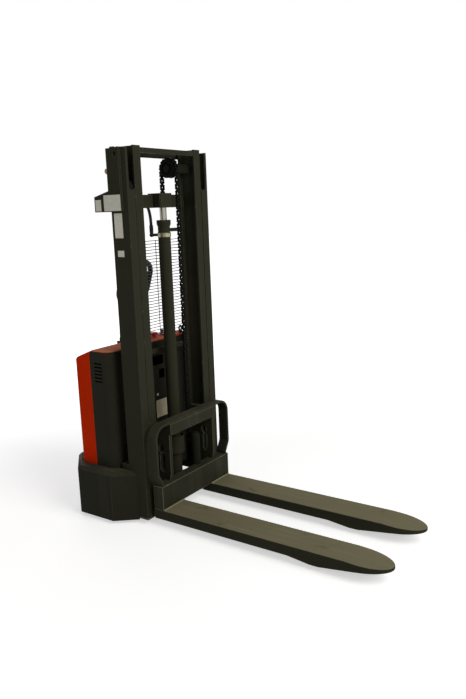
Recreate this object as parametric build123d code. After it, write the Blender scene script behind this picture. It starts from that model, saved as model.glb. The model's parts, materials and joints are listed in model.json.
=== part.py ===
"""Pedestrian electric pallet stacker with a two-stage mast, in millimetres.

Everything is drawn with x = 0 at the fork heel, +X towards the fork tips, +Y to the machine's left and
+Z up from the floor. The finished pieces are then moved so that the origin lies on the floor under the
middle of the machine.
"""

import os
from math import cos, pi, radians, sin, tan

from build123d import *

# Overall lengths from the fork heel
FORK_TIP_X = 1150.0
REAR_X = -610.0
ORIGIN_X = (FORK_TIP_X + REAR_X) / 2

# How far a cutting solid runs past the face that it cuts
PAST = 1.0

# Forks
FORK_HALF_SPAN = 281.0
FORK_WIDTH = 162.0
FORK_TOP_Z = 88.0
FORK_EDGE_Z = 38.0
FORK_WALL = 8.0
FORK_BACK_X = -60.0
FORK_HEEL_SEAT = 1.0
FORK_BELLY_X = (690.0, 800.0, 840.0)
FORK_BELLY_Z = 25.0
FORK_FLAT_END_X = 960.0
FORK_HOLLOW_END_X = 940.0
FORK_KEEL = (1020.0, 50.0)
FORK_NOSE_LENGTH = 150.0
FORK_NOSE_Z = (62.0, 78.0)
FORK_ROUND = 6.0

# Support legs and load wheels
LEG_INNER_Y = 142.0
LEG_OUTER_Y = 248.0
LEG_BOTTOM_Z = 34.0
LEG_TOP_Z = 74.0
LEG_WALL = 6.0
LEG_REAR_X = -280.0
LEG_TUBE_END_X = 770.0
LEG_CHEEK = [(730, 68), (853, 68), (875, 50), (875, 30), (857, 18), (770, 18), (730, 36)]
LEG_CHEEK_THICK = 12.0
LEG_FOOT_THICK = 8.0
LOAD_WHEEL_X = 825.0
LOAD_WHEEL_RADIUS = 37.0
LOAD_WHEEL_WIDTH = 64.0
LOAD_WHEEL_EDGE = 4.0
LOAD_AXLE_RADIUS = 10.0
LOAD_HUB = (15.0, 24.0)
LOAD_HUB_DEPTH = 3.0

# Mast sections
MAST_FRONT_X = -85.0
MAST_REAR_X = -193.0
FLANGE = 12.0
OUTER_FACE_Y = 304.0
OUTER_WEB = 10.0
OUTER_LIP_Y = 254.0
OUTER_TOP_Z = 1814.0
INNER_FACE_Y = 250.0
INNER_LIP_Y = 201.0
INNER_WEB_Y = (220.0, 230.0)
INNER_TOP_Z = 1826.0
INNER_BOTTOM_Z = 84.0
INNER_INSET = 1.0
TIE_X = (-217.0, -205.0)
TIE_HALF_WIDTH = 266.0
TIE_HEIGHTS = ((1786.0, 1826.0), (812.0, 836.0), (310.0, 380.0))
INNER_BEAM_Z = (1794.0, 1818.0)
INNER_BEAM_PLATE = (-140.0, 10.0)
INNER_FOOT = (228.0, 10.0, 25.0)
NOTCH_WEB = 4.0
NOTCH_RISE = 11.0
SIDE_PLATE = 12.0
SIDE_PLATE_OUTLINE = [(-118, 1814), (-195, 1814), (-195, 1626), (-286, 1602), (-286, 1532), (-118, 1532)]
EYE_X = -141.0
EYE_Z = 1786.0
EYE_RADIUS = 10.0
EYE_CLEAR = 13.0
GUARD_WIRE = 3.0
GUARD_PITCH = 15.0
GUARD_ROWS = 33
GUARD_BOTTOM_Z = 905.0
GUARD_UPRIGHTS = (-290.0, -190.0, 0.0, 190.0, 290.0)
CYLINDER_FOOT_Z = 60.0

# Mast rollers run between the flanges
ROLLER_X = (MAST_FRONT_X + MAST_REAR_X) / 2
ROLLER_GAP = 0.3
ROLLER_RADIUS = (MAST_FRONT_X - MAST_REAR_X) / 2 - FLANGE - ROLLER_GAP
ROLLER_AXLE_RADIUS = 15.0
ROLLER_EDGE = 2.0
ROLLER_HUB = (21.0, 34.0)
ROLLER_HUB_DEPTH = 2.0
RUNNING_GAP = 0.05
TOP_ROLLER_Y = (233.0, 270.0)
FOOT_ROLLER_Y = (258.0, 288.0)
CARRIAGE_ROLLER_Y = (196.0, 217.0)
COLLAR_RADIUS = 22.0
COLLAR_GAP = 1.0
TOP_ROLLER_Z = 1634.0
FOOT_ROLLER_Z = 140.0
CARRIAGE_ROLLER_Z = (150.0, 455.0)

# Lift cylinder, cross-head and chain
CYLINDER_X = -138.0
BARREL_RADIUS = 31.0
BARREL_BORE = 24.0
BARREL_TOP_Z = 1401.0
BARREL_FLOOR = 18.0
GLAND_TOP_Z = 1485.0
GLAND_RING = (32.5, 23.0)
GLAND_NECK = 30.0
GLAND_NUT = (35.0, 20.0, 12.0)
PISTON_Z = (90.0, 130.0)
RAM_RADIUS = 17.0
CLAMP_Z = (284.0, 376.0)
CLAMP_ARM = 38.0
CUP_RADIUS = 49.0
CUP_HOLLOW = 43.0
CUP_FLOOR = 30.0
HEAD_Z = (1545.0, 1614.0)
HEAD_HALF_WIDTH = 46.0
HEAD_REACH = 28.0
HEAD_CORNER = 8.0
BEAM_TOP_Z = 1608.0
CHAIN_WHEEL_X = -147.0
CHAIN_WHEEL_Z = 1732.0
CHAIN_RADIUS = 48.0
CHAIN_Y = (60.0, 86.0)
CHAIN_PITCH = 16.0
CHAIN_PLATE = 12.0
CHAIN_SIDE = 6.0
CHAIN_CLEAR = 6.0
WRAP_LINKS = 9
FRONT_LINKS = 87
REAR_LINKS = 16
WHEEL_RIM = 40.8
WHEEL_FLANGE = (44.8, 5.5)
WHEEL_SIDE = 6.0
WHEEL_SHOULDER = 4.0
WHEEL_HUB = (22.0, 31.0)
WHEEL_AXLE = 14.0
ARM_X = (-169.0, -125.0)
ARM_Z = (1712.0, 1756.0)
ARM_CORNER = 10.0
ANCHOR_X = -62.0
ANCHOR_RADIUS = 24.0
ANCHOR_TOP_Z = 384.0
LUG_HALF = 9.0
LUG_HEIGHT = 16.0
REAR_ARM_Z = (1424.0, 1442.0)
BEAM_FRONT_X = -163.0
BEAM_HALF_WIDTH = 188.0
BEAM_LUG = 9.5
SOCKET = 30.0
HOSE_RADIUS = 7.5
HOSE_BEND = 0.45
HOSE_ROUTE = [
    (-208, -14, 1457), (-208, -14, 1534), (-208, -69, 1590), (-208, -147, 1590), (-208, -202, 1535),
    (-208, -206, 1457), (-208, -211, 1340), (-208, -212, 1220), (-209, -203, 1110), (-220, -191, 1040),
    (-252, -173, 978), (-288, -155, 926), (-288, -155, 866),
]
FERRULE_RADIUS = 8.5
PORT_Z = 1413.0
PORT_RADIUS = 7.0
ELBOW_RADIUS = 11.0

# Carriage
CARRIAGE_TOP_Z = 209.0
UPRIGHT_Y = (170.0, 190.0)
UPRIGHT_REAR_X = -158.0
UPRIGHT_FOOT_Z = 112.0
UPRIGHT_HOOK_X = -62.0
UPRIGHT_TOE = (-25.0, 249.0)
UPRIGHT_SHOULDER = (-80.0, -110.0, 496.0)
BACKREST_HALF_SPAN = 303.0
BACKREST_TOP_Z = 516.0
BACKREST_X = (-62.0, -5.0)
BAR_THICK = 12.0
BAR_FOOT_INSET = 14.0
BAR_FOOT_Z = (12.0, 66.0)
BAR_ROUND = (12.0, 40.0, 62.0)
CROSS_PLATE_Z = 447.0
CROSS_PLATE_X = (-17.0, -5.0)
BEAM_PLATE = 12.0
BEAM_LEDGE = 10.0
BEAM_EDGE = 3.0
UPRIGHT_HOLE = (-73.0, 368.0, 20.0)
UPRIGHT_SLOT = (-68.0, 297.0, 96.0, 30.0)

# Chassis, covers and hood
PLATE_Z = (240.0, 252.0)
COVER_Z = (19.0, 273.0)
COVER_WALL = 5.0
HOOD_HALF_WIDTH = 327.0
HOOD_FRONT_X = -250.0
HOOD_REAR_X = -560.0
HOOD_REAR_HALF = 252.0
HOOD_CORNER_X = -485.0
HOOD_SEAM_X = -389.0
HOOD_TOP_Z = 866.0
HOOD_CAP_Z = 862.0
HOOD_RIDGE_X = -384.0
HOOD_REAR_Z = 795.0
HOOD_WALL = 4.0
HOOD_ROUND = 36.0
HOOD_FRONT_ROUND = 56.0
HOOD_TOP_ROUND = 18.0
BULKHEAD_X = (-236.0, -224.0)
BULKHEAD_TOP_Z = 300.0
BULKHEAD_WINDOW = ((140.0, 250.0), (90.0, 160.0))
PLATE_HALF = 360.0
PLATE_REAR = [(-470.0, 360.0), (-590.0, 240.0)]
CASTER_BOX = (100.0, 96.0)
POST_X = (-305.0, -445.0)
POST_SIZE = (30.0, 18.0)
POST_INSET = 12.0
COVER_SIDE = [(-139.0, 304.5), (-244.0, 388.0), (-469.0, 388.0), (-610.0, 247.0)]
COVER_EDGE = 16.0
COVER_INNER_EDGE = 12.0
SEAM_GAP = 0.5
COVER_GAP = 1.5
COVER_MOUTH_X = -280.0
COLUMN_HOLE = 62.0
SWITCH_X = -330.0
STOP_Y = 100.0
KEY_Y = 165.0
SWITCH_STEM = 11.0
VENT_X = -336.0
VENT_LENGTH = 54.0
VENT_HEIGHT = 8.0
VENT_COUNT = 6
VENT_BOTTOM_Z = 713.0
VENT_PITCH = 18.0
SERVICE_OPENINGS = (
    ((-71.0, 71.0), (735.0, 784.0)),
    ((-76.0, -31.0), (659.0, 709.0)),
    ((31.0, 76.0), (659.0, 709.0)),
)

# Batteries, hydraulics and electrics under the hood
BATTERY_X = (-480.0, -270.0)
BATTERY_Y = (122.0, 310.0)
BATTERY_TOP_Z = 490.0
BATTERY_CORNER = 6.0
TERMINAL_X = (-440.0, -310.0)
TERMINAL_Y = 290.0
TERMINAL_RADIUS = 8.0
TERMINAL_NOTCH = 14.0
SHELF = 8.0
SHELF_CUT = 95.0
TANK_X = (-392.0, -282.0)
TANK_Y = (-300.0, -140.0)
TANK_HEIGHT = 110.0
TANK_ROUND = 14.0
PUMP_X = -326.0
PUMP_Z = 554.0
PUMP_FLANGE = (56.0, (-142.0, -130.0))
PUMP_MOTOR = (48.0, (-130.0, -10.0))
FILLER = (-360.0, -270.0, 16.0, 14.0)
CONTROL_X = (-392.0, -292.0)
CONTROL_Y = (140.0, 300.0)
CONTROL_HEIGHT = 40.0
FIN_COUNT = 8
FIN_PITCH = 20.0
FIN_THICK = 8.0
FIN_HEIGHT = 18.0
FIN_INSET = 6.0

# Drive unit, tiller and casters
STEER_X = -440.0
DRIVE_WHEEL_RADIUS = 115.0
DRIVE_WHEEL_WIDTH = 75.0
DRIVE_WHEEL_EDGE = 8.0
DRIVE_HUB = (44.0, 82.0)
DRIVE_HUB_DEPTH = 14.0
BEARING_RADIUS = 105.0
TURNTABLE_LIP = 7.0
TURNTABLE_TOP_Z = 262.0
GEAR_RADIUS = 58.0
GEAR_CAP = (34.0, 10.0)
GEAR_Y = (45.5, 99.5)
GEAR_LAP = 6.0
GEAR_GAP = 2.0
MOTOR_RADIUS = 72.0
MOTOR_RIB = (80.0, 14.0)
MOTOR_RIB_Z = (290.0, 340.0, 390.0, 440.0)
MOTOR_TOP_Z = 500.0
BRAKE = (56.0, 18.0)
COLUMN_RADIUS = 28.0
COLUMN_FLANGE = 12.0
YOKE_Y = (18.0, 28.0)
YOKE_HALF = 20.0
YOKE_BASE = (24.0, 46.0, 28.0)
PIVOT_Z = 902.0
TILLER_LEAN = 18.0
TILLER_PIN = 10.0
TILLER_HUB = (22.0, 17.7)
TILLER_ARM_HALF = (16.0, 18.0, 17.0)
HEAD_ROUND = 16.0
GRIP_ROUND = 70.0
GRIP_ROOT = 4.0
HEAD_Z_LOW = 158.0
HEAD_Z_HIGH = 404.0
HEAD_DEPTH = 28.0
HEAD_HALF = 40.0
GRIP_Z = (177.0, 389.0)
GRIP_REACH = 109.0
GRIP_RADIUS = 14.0
THROTTLE_Z = 334.0
THROTTLE_AXLE = 8.0
PADDLE = (52.0, 20.0, 10.0)
PADDLE_Y = 53.0
BELLY_CAP = ((-22.0, 22.0), (-34.0, 34.0), (414.0, 430.0))
BELLY_ROUND = 14.0
BELLY_SEAT_Z = (374.0, 386.0)
ROCKER_X = -20.0
ROCKER_Z = 292.0
ROCKER_TOP = [(-20, 273), (-20, 311), (-37, 311), (-33, 292), (-37, 273)]
ROCKER_HALF = 13.0
ROCKER_SEAT = (14.0, 24.0, -12.0)
ROCKER_PIN = 18.0
ROCKER_AXLE = 4.0
HORN_Z = 230.0
HORN_RADIUS = 10.0
HORN_X = (-36.0, -16.0)
HORN_SEAT_X = -10.0
STOP_PROFILE = [(0, 0), (11, 0), (11, 40), (20, 40), (20, 50), (15, 57), (0, 58)]
SWITCH_DEPTH = 30.0
KEY_COLLAR = (15.0, 5.0)
KEY_BLADE = (1.5, 4.0, 14.0)
KEY_BOW = (12.0, 22.0)
DRIVE_AXLE = 20.0
CASTER_X = -395.0
CASTER_Y = 272.0
CASTER_TRAIL = 34.0
CASTER_RADIUS = 62.0
CASTER_WIDTH = 46.0
CASTER_STEM = 12.0
CASTER_AXLE = 8.0
CASTER_EDGE = 6.0
CASTER_HUB = (20.0, 44.0)
CASTER_HUB_DEPTH = 6.0
CASTER_CROWN = (34.0, 26.0)
CASTER_CHEEK = [(-369, 156), (-369, 166), (-425, 166), (-445, 62), (-439, 46), (-417, 48)]
CASTER_CHEEK_THICK = 6.0
CASTER_CLEAR = 2.0
CASTER_BOX_Z = 182.0


def block(x, y, z):
    """A box between the given limits on each axis."""
    size = (x[1] - x[0], y[1] - y[0], z[1] - z[0])
    return Pos((x[0] + x[1]) / 2, (y[0] + y[1]) / 2, (z[0] + z[1]) / 2) * Box(*size)


def plan(points, z):
    """A polygon of x, y points raised between two heights."""
    return extrude(Plane.XY.offset(z[0]) * Polygon(*points, align=None), z[1] - z[0], dir=(0, 0, 1))


def side(points, y):
    """A polygon of x, z points extruded across the machine."""
    return extrude(Plane.XZ.offset(-y[0]) * Polygon(*points, align=None), y[1] - y[0], dir=(0, 1, 0))


def front(points, x):
    """A polygon of y, z points extruded along the machine."""
    return extrude(Plane.YZ.offset(x[0]) * Polygon(*points, align=None), x[1] - x[0], dir=(1, 0, 0))


def raised(outline, z):
    """A plan sketch raised between two heights."""
    return extrude(Plane.XY.offset(z[0]) * outline, z[1] - z[0], dir=(0, 0, 1))


def drum_y(x, z, radius, y):
    """A cylinder that lies across the machine."""
    return Pos(x, (y[0] + y[1]) / 2, z) * Rot(90, 0, 0) * Cylinder(radius, y[1] - y[0])


def drum_x(y, z, radius, x):
    """A cylinder that lies along the machine."""
    return Pos((x[0] + x[1]) / 2, y, z) * Rot(0, 90, 0) * Cylinder(radius, x[1] - x[0])


def drum_z(x, y, radius, z):
    """An upright cylinder."""
    return Pos(x, y, (z[0] + z[1]) / 2) * Cylinder(radius, z[1] - z[0])


def past(limits):
    """Limits that run a little further each way, for a cut that goes right through."""
    return (limits[0] - PAST, limits[1] + PAST)


def wide(half):
    """Limits to each side of the machine's middle plane."""
    return (-half, half)


def mirrored(piece):
    """The same piece on the machine's right side."""
    return mirror(piece, about=Plane.XZ)


def both(piece):
    """A left piece with its mirror image, as two solids."""
    return [piece, mirrored(piece)]


def closed(half):
    """A plan outline from its left half and the mirror image of that half."""
    return [*half, *[(x, -y) for x, y in reversed(half)]]


def edges_along(piece, axis, test):
    """The straight edges along an axis whose centre passes the test."""
    return [edge for edge in piece.edges().filter_by(axis) if test(edge.center())]


def edges_above(piece, z):
    """The edges that lie over a height."""
    return [edge for edge in piece.edges() if edge.center().Z > z]


def ring(radius, bore, width, edge):
    """A wheel lying on its axis along Z, with bevelled tread edges."""
    tread = Cylinder(radius, width)
    tread = chamfer(tread.edges().filter_by(GeomType.CIRCLE), edge)
    return tread - Cylinder(bore, width + 2 * PAST)


def relieved(wheel, width, hub, depth):
    """A wheel with a ring-shaped recess between hub and rim on each side."""
    recess = Cylinder(hub[1], 2 * depth) - Cylinder(hub[0], 2 * depth)
    for end in (-1, 1):
        wheel -= Pos(0, 0, end * width / 2) * recess
    return wheel


def across(piece, x, y, z):
    """Turn a piece made along Z to lie across the machine at a place."""
    return Pos(x, y, z) * Rot(90, 0, 0) * piece


NODES = {}


def keep(name, pieces):
    """Store the solids of one node, moved to the machine's own origin."""
    solids = pieces if isinstance(pieces, list) else [pieces]
    moved = [solid for piece in solids for solid in (Pos(-ORIGIN_X, 0, 0) * piece).solids()]
    NODES[name] = moved[0] if len(moved) == 1 else Compound(children=moved)


# Forks, legs and load wheels
FORK_Y = (FORK_HALF_SPAN - FORK_WIDTH, FORK_HALF_SPAN)
LEG_Y = (LEG_INNER_Y, LEG_OUTER_Y)
LEG_MIDDLE_Y = (LEG_INNER_Y + LEG_OUTER_Y) / 2
MAST_X = (MAST_REAR_X, MAST_FRONT_X)


def fork():
    """Left fork: an inverted channel with a belly over the load wheel and a flat rounded nose."""
    middle_y = sum(FORK_Y) / 2
    nose_x = FORK_TIP_X - FORK_NOSE_LENGTH
    profile = [
        (FORK_BACK_X, FORK_TOP_Z), (FORK_FLAT_END_X, FORK_TOP_Z), (FORK_TIP_X, FORK_NOSE_Z[1]),
        (FORK_TIP_X, FORK_NOSE_Z[0]), FORK_KEEL, (FORK_BELLY_X[2], FORK_BELLY_Z),
        (FORK_BELLY_X[1], FORK_BELLY_Z), (FORK_BELLY_X[0], FORK_EDGE_Z), (FORK_BACK_X, FORK_EDGE_Z),
    ]
    outline = Pos((FORK_BACK_X + nose_x) / 2, middle_y) * Rectangle(nose_x - FORK_BACK_X, FORK_WIDTH)
    outline += Pos(nose_x, middle_y) * Ellipse(FORK_NOSE_LENGTH, FORK_WIDTH / 2)
    body = side(profile, FORK_Y) & extrude(outline, FORK_TOP_Z + PAST)
    rim = [edge for edge in edges_above(body, FORK_TOP_Z - FORK_ROUND - PAST) if edge.center().X > 0]
    rim = [
        edge for edge in rim
        if abs(edge.center().Y - middle_y) > FORK_WIDTH / 8 or edge.center().X > FORK_TIP_X - PAST
    ]
    body = fillet(rim, FORK_ROUND)
    hollow_y = (FORK_Y[0] + FORK_WALL, FORK_Y[1] - FORK_WALL)
    body -= block((FORK_BACK_X - PAST, FORK_HOLLOW_END_X), hollow_y, (0, FORK_TOP_Z - FORK_WALL))
    seat_z = (FORK_TOP_Z - FORK_HEEL_SEAT, FORK_TOP_Z + PAST)
    return body - block((FORK_BACK_X - PAST, 0), past(FORK_Y), seat_z)


def support_leg():
    """Left leg: a box tube with two wheel cheeks at the tip and the mast foot plate under it."""
    tube = block((LEG_REAR_X, LEG_TUBE_END_X), LEG_Y, (LEG_BOTTOM_Z, LEG_TOP_Z))
    hollow = block(
        (LEG_REAR_X - PAST, LEG_TUBE_END_X - LEG_WALL),
        (LEG_INNER_Y + LEG_WALL, LEG_OUTER_Y - LEG_WALL),
        (LEG_BOTTOM_Z + LEG_WALL, LEG_TOP_Z - LEG_WALL),
    )
    leg = tube - hollow
    leg += side(LEG_CHEEK, (LEG_INNER_Y, LEG_INNER_Y + LEG_CHEEK_THICK))
    leg += side(LEG_CHEEK, (LEG_OUTER_Y - LEG_CHEEK_THICK, LEG_OUTER_Y))
    leg -= drum_y(LOAD_WHEEL_X, LOAD_WHEEL_RADIUS, LOAD_AXLE_RADIUS, past(LEG_Y))
    return leg + block(MAST_X, (LEG_INNER_Y, OUTER_FACE_Y), (LEG_BOTTOM_Z - LEG_FOOT_THICK, LEG_BOTTOM_Z))


def load_wheel():
    """Left load wheel: a plain roller with a recessed hub on each side."""
    wheel = ring(LOAD_WHEEL_RADIUS, LOAD_AXLE_RADIUS + RUNNING_GAP, LOAD_WHEEL_WIDTH, LOAD_WHEEL_EDGE)
    wheel = relieved(wheel, LOAD_WHEEL_WIDTH, LOAD_HUB, LOAD_HUB_DEPTH)
    return across(wheel, LOAD_WHEEL_X, LEG_MIDDLE_Y, LOAD_WHEEL_RADIUS)


load_axle = drum_y(LOAD_WHEEL_X, LOAD_WHEEL_RADIUS, LOAD_AXLE_RADIUS, LEG_Y)
keep("fork_left", fork())
keep("fork_right", mirrored(fork()))
keep("support_leg_left", support_leg())
keep("support_leg_right", mirrored(support_leg()))
keep("load_axles", both(load_axle))
keep("load_wheel_left", load_wheel())
keep("load_wheel_right", mirrored(load_wheel()))


# Mast
WEB_INSIDE_Y = OUTER_FACE_Y - OUTER_WEB
FRONT_FLANGE_X = MAST_FRONT_X - FLANGE
REAR_FLANGE_X = MAST_REAR_X + FLANGE


def outer_channel():
    """Left outer channel, open inwards, notched at the top so that the roller can be fitted."""
    section = [
        (MAST_FRONT_X, OUTER_FACE_Y), (MAST_REAR_X, OUTER_FACE_Y), (MAST_REAR_X, OUTER_LIP_Y),
        (REAR_FLANGE_X, OUTER_LIP_Y), (REAR_FLANGE_X, WEB_INSIDE_Y), (FRONT_FLANGE_X, WEB_INSIDE_Y),
        (FRONT_FLANGE_X, OUTER_LIP_Y), (MAST_FRONT_X, OUTER_LIP_Y),
    ]
    channel = plan(section, (LEG_BOTTOM_Z, OUTER_TOP_Z))
    notch_y = (OUTER_LIP_Y - 2 * PAST, WEB_INSIDE_Y - NOTCH_WEB)
    notch_x = past((FRONT_FLANGE_X, MAST_FRONT_X))
    notch_z = TOP_ROLLER_Z + NOTCH_RISE
    channel -= block(notch_x, notch_y, (notch_z, OUTER_TOP_Z + PAST))
    channel -= drum_x(sum(notch_y) / 2, notch_z, (notch_y[1] - notch_y[0]) / 2, notch_x)
    channel -= drum_y(EYE_X, EYE_Z, EYE_CLEAR, past((WEB_INSIDE_Y, OUTER_FACE_Y)))
    axle_y = (TOP_ROLLER_Y[0], WEB_INSIDE_Y)
    channel += drum_y(ROLLER_X, TOP_ROLLER_Z, ROLLER_AXLE_RADIUS, axle_y)
    collar_y = (TOP_ROLLER_Y[1] + COLLAR_GAP, WEB_INSIDE_Y)
    return channel + drum_y(ROLLER_X, TOP_ROLLER_Z, COLLAR_RADIUS, collar_y)


def inner_channel():
    """Left inner channel, an I section: rollers of both neighbours run in its two sides."""
    back = MAST_REAR_X + INNER_INSET
    face = MAST_FRONT_X - INNER_INSET
    section = [
        (face, INNER_LIP_Y), (face, INNER_FACE_Y), (FRONT_FLANGE_X, INNER_FACE_Y),
        (FRONT_FLANGE_X, INNER_WEB_Y[1]), (REAR_FLANGE_X, INNER_WEB_Y[1]), (REAR_FLANGE_X, INNER_FACE_Y),
        (back, INNER_FACE_Y), (back, INNER_LIP_Y), (REAR_FLANGE_X, INNER_LIP_Y),
        (REAR_FLANGE_X, INNER_WEB_Y[0]), (FRONT_FLANGE_X, INNER_WEB_Y[0]), (FRONT_FLANGE_X, INNER_LIP_Y),
    ]
    channel = plan(section, (INNER_BOTTOM_Z, INNER_TOP_Z))
    axle_y = (INNER_WEB_Y[1], FOOT_ROLLER_Y[1])
    channel += drum_y(ROLLER_X, FOOT_ROLLER_Z, ROLLER_AXLE_RADIUS, axle_y)
    collar_y = (INNER_WEB_Y[1], FOOT_ROLLER_Y[0] - COLLAR_GAP)
    return channel + drum_y(ROLLER_X, FOOT_ROLLER_Z, COLLAR_RADIUS, collar_y)


def mast_roller(y, z):
    """A pair of steel rollers with a relieved hub, one on each side of the mast."""
    width = y[1] - y[0]
    roller = ring(ROLLER_RADIUS, ROLLER_AXLE_RADIUS + RUNNING_GAP, width, ROLLER_EDGE)
    roller = relieved(roller, width, ROLLER_HUB, ROLLER_HUB_DEPTH)
    return both(across(roller, ROLLER_X, sum(y) / 2, z))


def outer_tie(z):
    """A cross plate behind the outer channels, on two pads so that the chain clears it."""
    plate = block(TIE_X, wide(TIE_HALF_WIDTH), z)
    return [plate] + both(block((TIE_X[1], MAST_REAR_X), (OUTER_LIP_Y, TIE_HALF_WIDTH), z))


def side_plate():
    """Left mast plate with the lifting eye and an ear that points to the rear."""
    plate_y = (OUTER_FACE_Y, OUTER_FACE_Y + SIDE_PLATE)
    return side(SIDE_PLATE_OUTLINE, plate_y) - drum_y(EYE_X, EYE_Z, EYE_RADIUS, past(plate_y))


def wire_guard():
    """Welded wire guard behind the mast: close level wires on a few upright ones."""
    level = [GUARD_BOTTOM_Z + GUARD_PITCH * row for row in range(GUARD_ROWS)]
    width = GUARD_UPRIGHTS[-1] - GUARD_UPRIGHTS[0] + GUARD_WIRE
    sheet = Pos(0, (level[0] + level[-1]) / 2) * Rectangle(width, level[-1] - level[0] + GUARD_WIRE)
    for low, high in zip(level, level[1:]):
        for left, right in zip(GUARD_UPRIGHTS, GUARD_UPRIGHTS[1:]):
            gap = Rectangle(right - left - GUARD_WIRE, high - low - GUARD_WIRE)
            sheet -= Pos((left + right) / 2, (low + high) / 2) * gap
    return extrude(Plane.YZ.offset(MAST_REAR_X - GUARD_WIRE) * sheet, GUARD_WIRE)


def inner_ties():
    """Top beam, an angle between the inner channels, and the plate across their feet."""
    gap_y = wide(INNER_LIP_Y)
    beam_x = (FRONT_FLANGE_X - INNER_INSET, MAST_FRONT_X - 3 * INNER_INSET)
    beam = block(beam_x, gap_y, INNER_BEAM_Z)
    plate_z = (INNER_BEAM_Z[1] - INNER_BEAM_PLATE[1], INNER_BEAM_Z[1])
    beam += block((INNER_BEAM_PLATE[0], beam_x[1]), gap_y, plate_z)
    foot_half, foot_thick, foot_height = INNER_FOOT
    face = MAST_FRONT_X - INNER_INSET
    foot_z = (INNER_BOTTOM_Z, INNER_BOTTOM_Z + foot_height)
    return [beam, block((face, face + foot_thick), wide(foot_half), foot_z)]


cylinder_beam = block(MAST_X, wide(LEG_INNER_Y), (LEG_BOTTOM_Z, CYLINDER_FOOT_Z))
keep("outer_channel_left", outer_channel())
keep("outer_channel_right", mirrored(outer_channel()))
keep("outer_ties", [piece for z in TIE_HEIGHTS for piece in outer_tie(z)] + [cylinder_beam])
keep("side_plates", both(side_plate()))
keep("wire_guard", wire_guard())
keep("inner_channel_left", inner_channel())
keep("inner_channel_right", mirrored(inner_channel()))
keep("inner_ties", inner_ties())
keep("mast_top_rollers", mast_roller(TOP_ROLLER_Y, TOP_ROLLER_Z))
keep("mast_foot_rollers", mast_roller(FOOT_ROLLER_Y, FOOT_ROLLER_Z))
keep("carriage_lower_rollers", mast_roller(CARRIAGE_ROLLER_Y, CARRIAGE_ROLLER_Z[0]))
keep("carriage_upper_rollers", mast_roller(CARRIAGE_ROLLER_Y, CARRIAGE_ROLLER_Z[1]))


# Lift cylinder and cross-head


def barrel():
    """Lift cylinder tube, closed at the foot."""
    tube = drum_z(CYLINDER_X, 0, BARREL_RADIUS, (CYLINDER_FOOT_Z, BARREL_TOP_Z))
    return tube - drum_z(CYLINDER_X, 0, BARREL_BORE, (CYLINDER_FOOT_Z + BARREL_FLOOR, BARREL_TOP_Z + PAST))


def gland():
    """Rod gland: a ring on the barrel, a straight neck and a flared nut at the top."""
    rise = GLAND_TOP_Z - BARREL_TOP_Z
    inner = RAM_RADIUS + RUNNING_GAP
    nut, nut_height, flare = GLAND_NUT
    profile = [
        (inner, 0), (GLAND_RING[0], 0), GLAND_RING, (GLAND_NECK, GLAND_RING[1] + 2),
        (GLAND_NECK, rise - nut_height - flare), (nut, rise - nut_height), (nut, rise), (inner, rise),
    ]
    body = revolve(Plane.XZ * Polygon(*profile, align=None), Axis.Z)
    return Pos(CYLINDER_X, 0, BARREL_TOP_Z) * body + hose_port()


def hose_port():
    """Pipe from the gland ring to the elbow that the hose stands on."""
    start = Vector(*HOSE_ROUTE[0])
    axis = Vector(CYLINDER_X, 0, PORT_Z)
    elbow = Vector(start.X, start.Y, PORT_Z)
    reach = (elbow - axis).length
    pipe = Pos(0, 0, (GLAND_NECK + reach) / 2) * Cylinder(PORT_RADIUS, reach - GLAND_NECK)
    port = Plane(axis, z_dir=elbow - axis) * pipe
    port += Pos(elbow) * Sphere(ELBOW_RADIUS)
    return port + drum_z(start.X, start.Y, FERRULE_RADIUS, (PORT_Z, start.Z))


def ram():
    """Piston rod with its piston, standing in the barrel and up into the cross-head."""
    rod = drum_z(CYLINDER_X, 0, RAM_RADIUS, (PISTON_Z[0], HEAD_Z[0] + SOCKET))
    return rod + drum_z(CYLINDER_X, 0, BARREL_BORE - ROLLER_GAP, PISTON_Z)


def lift_beam():
    """Beam across the inner channels with the deep block that the rod pushes against."""
    beam_z = (HEAD_Z[0], BEAM_TOP_Z)
    back = MAST_REAR_X + INNER_INSET
    beam = block((back, BEAM_FRONT_X), wide(BEAM_HALF_WIDTH), beam_z)
    beam += block((back, back + BEAM_LUG), wide(INNER_LIP_Y), beam_z)
    chain_gap = (CHAIN_Y[0] - CHAIN_CLEAR, CHAIN_Y[1] + CHAIN_CLEAR)
    beam -= block((back - PAST, back + CHAIN_CLEAR + 2), chain_gap, past(beam_z))
    head = block((back, CYLINDER_X + HEAD_REACH), wide(HEAD_HALF_WIDTH), HEAD_Z)
    head = chamfer(edges_along(head, Axis.Z, lambda place: place.X > CYLINDER_X), HEAD_CORNER)
    return beam + head - drum_z(CYLINDER_X, 0, RAM_RADIUS, (HEAD_Z[0] - PAST, HEAD_Z[0] + SOCKET))


def cylinder_clamp():
    """Cup round the barrel, open at the top, with an arm back to the lowest tie."""
    cup = drum_z(CYLINDER_X, 0, CUP_RADIUS, CLAMP_Z)
    cup += block((TIE_X[1], CYLINDER_X), wide(CLAMP_ARM), CLAMP_Z)
    cup -= drum_z(CYLINDER_X, 0, CUP_HOLLOW, (CLAMP_Z[0] + CUP_FLOOR, CLAMP_Z[1] + PAST))
    return cup - drum_z(CYLINDER_X, 0, BARREL_RADIUS, past(CLAMP_Z))


def hose_path():
    """Hose centre line: straight runs joined by arcs as large as the runs allow."""
    points = [Vector(*point) for point in HOSE_ROUTE]
    radii = []
    for before, point, after in zip(points, points[1:], points[2:]):
        turn = radians((point - before).get_angle(after - point))
        shorter = min((point - before).length, (after - point).length)
        radii.append(HOSE_BEND * shorter / tan(turn / 2))
    print("hose radii", [round(radius, 1) for radius in radii])
    return FilletPolyline(*points, radius=radii)


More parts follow.
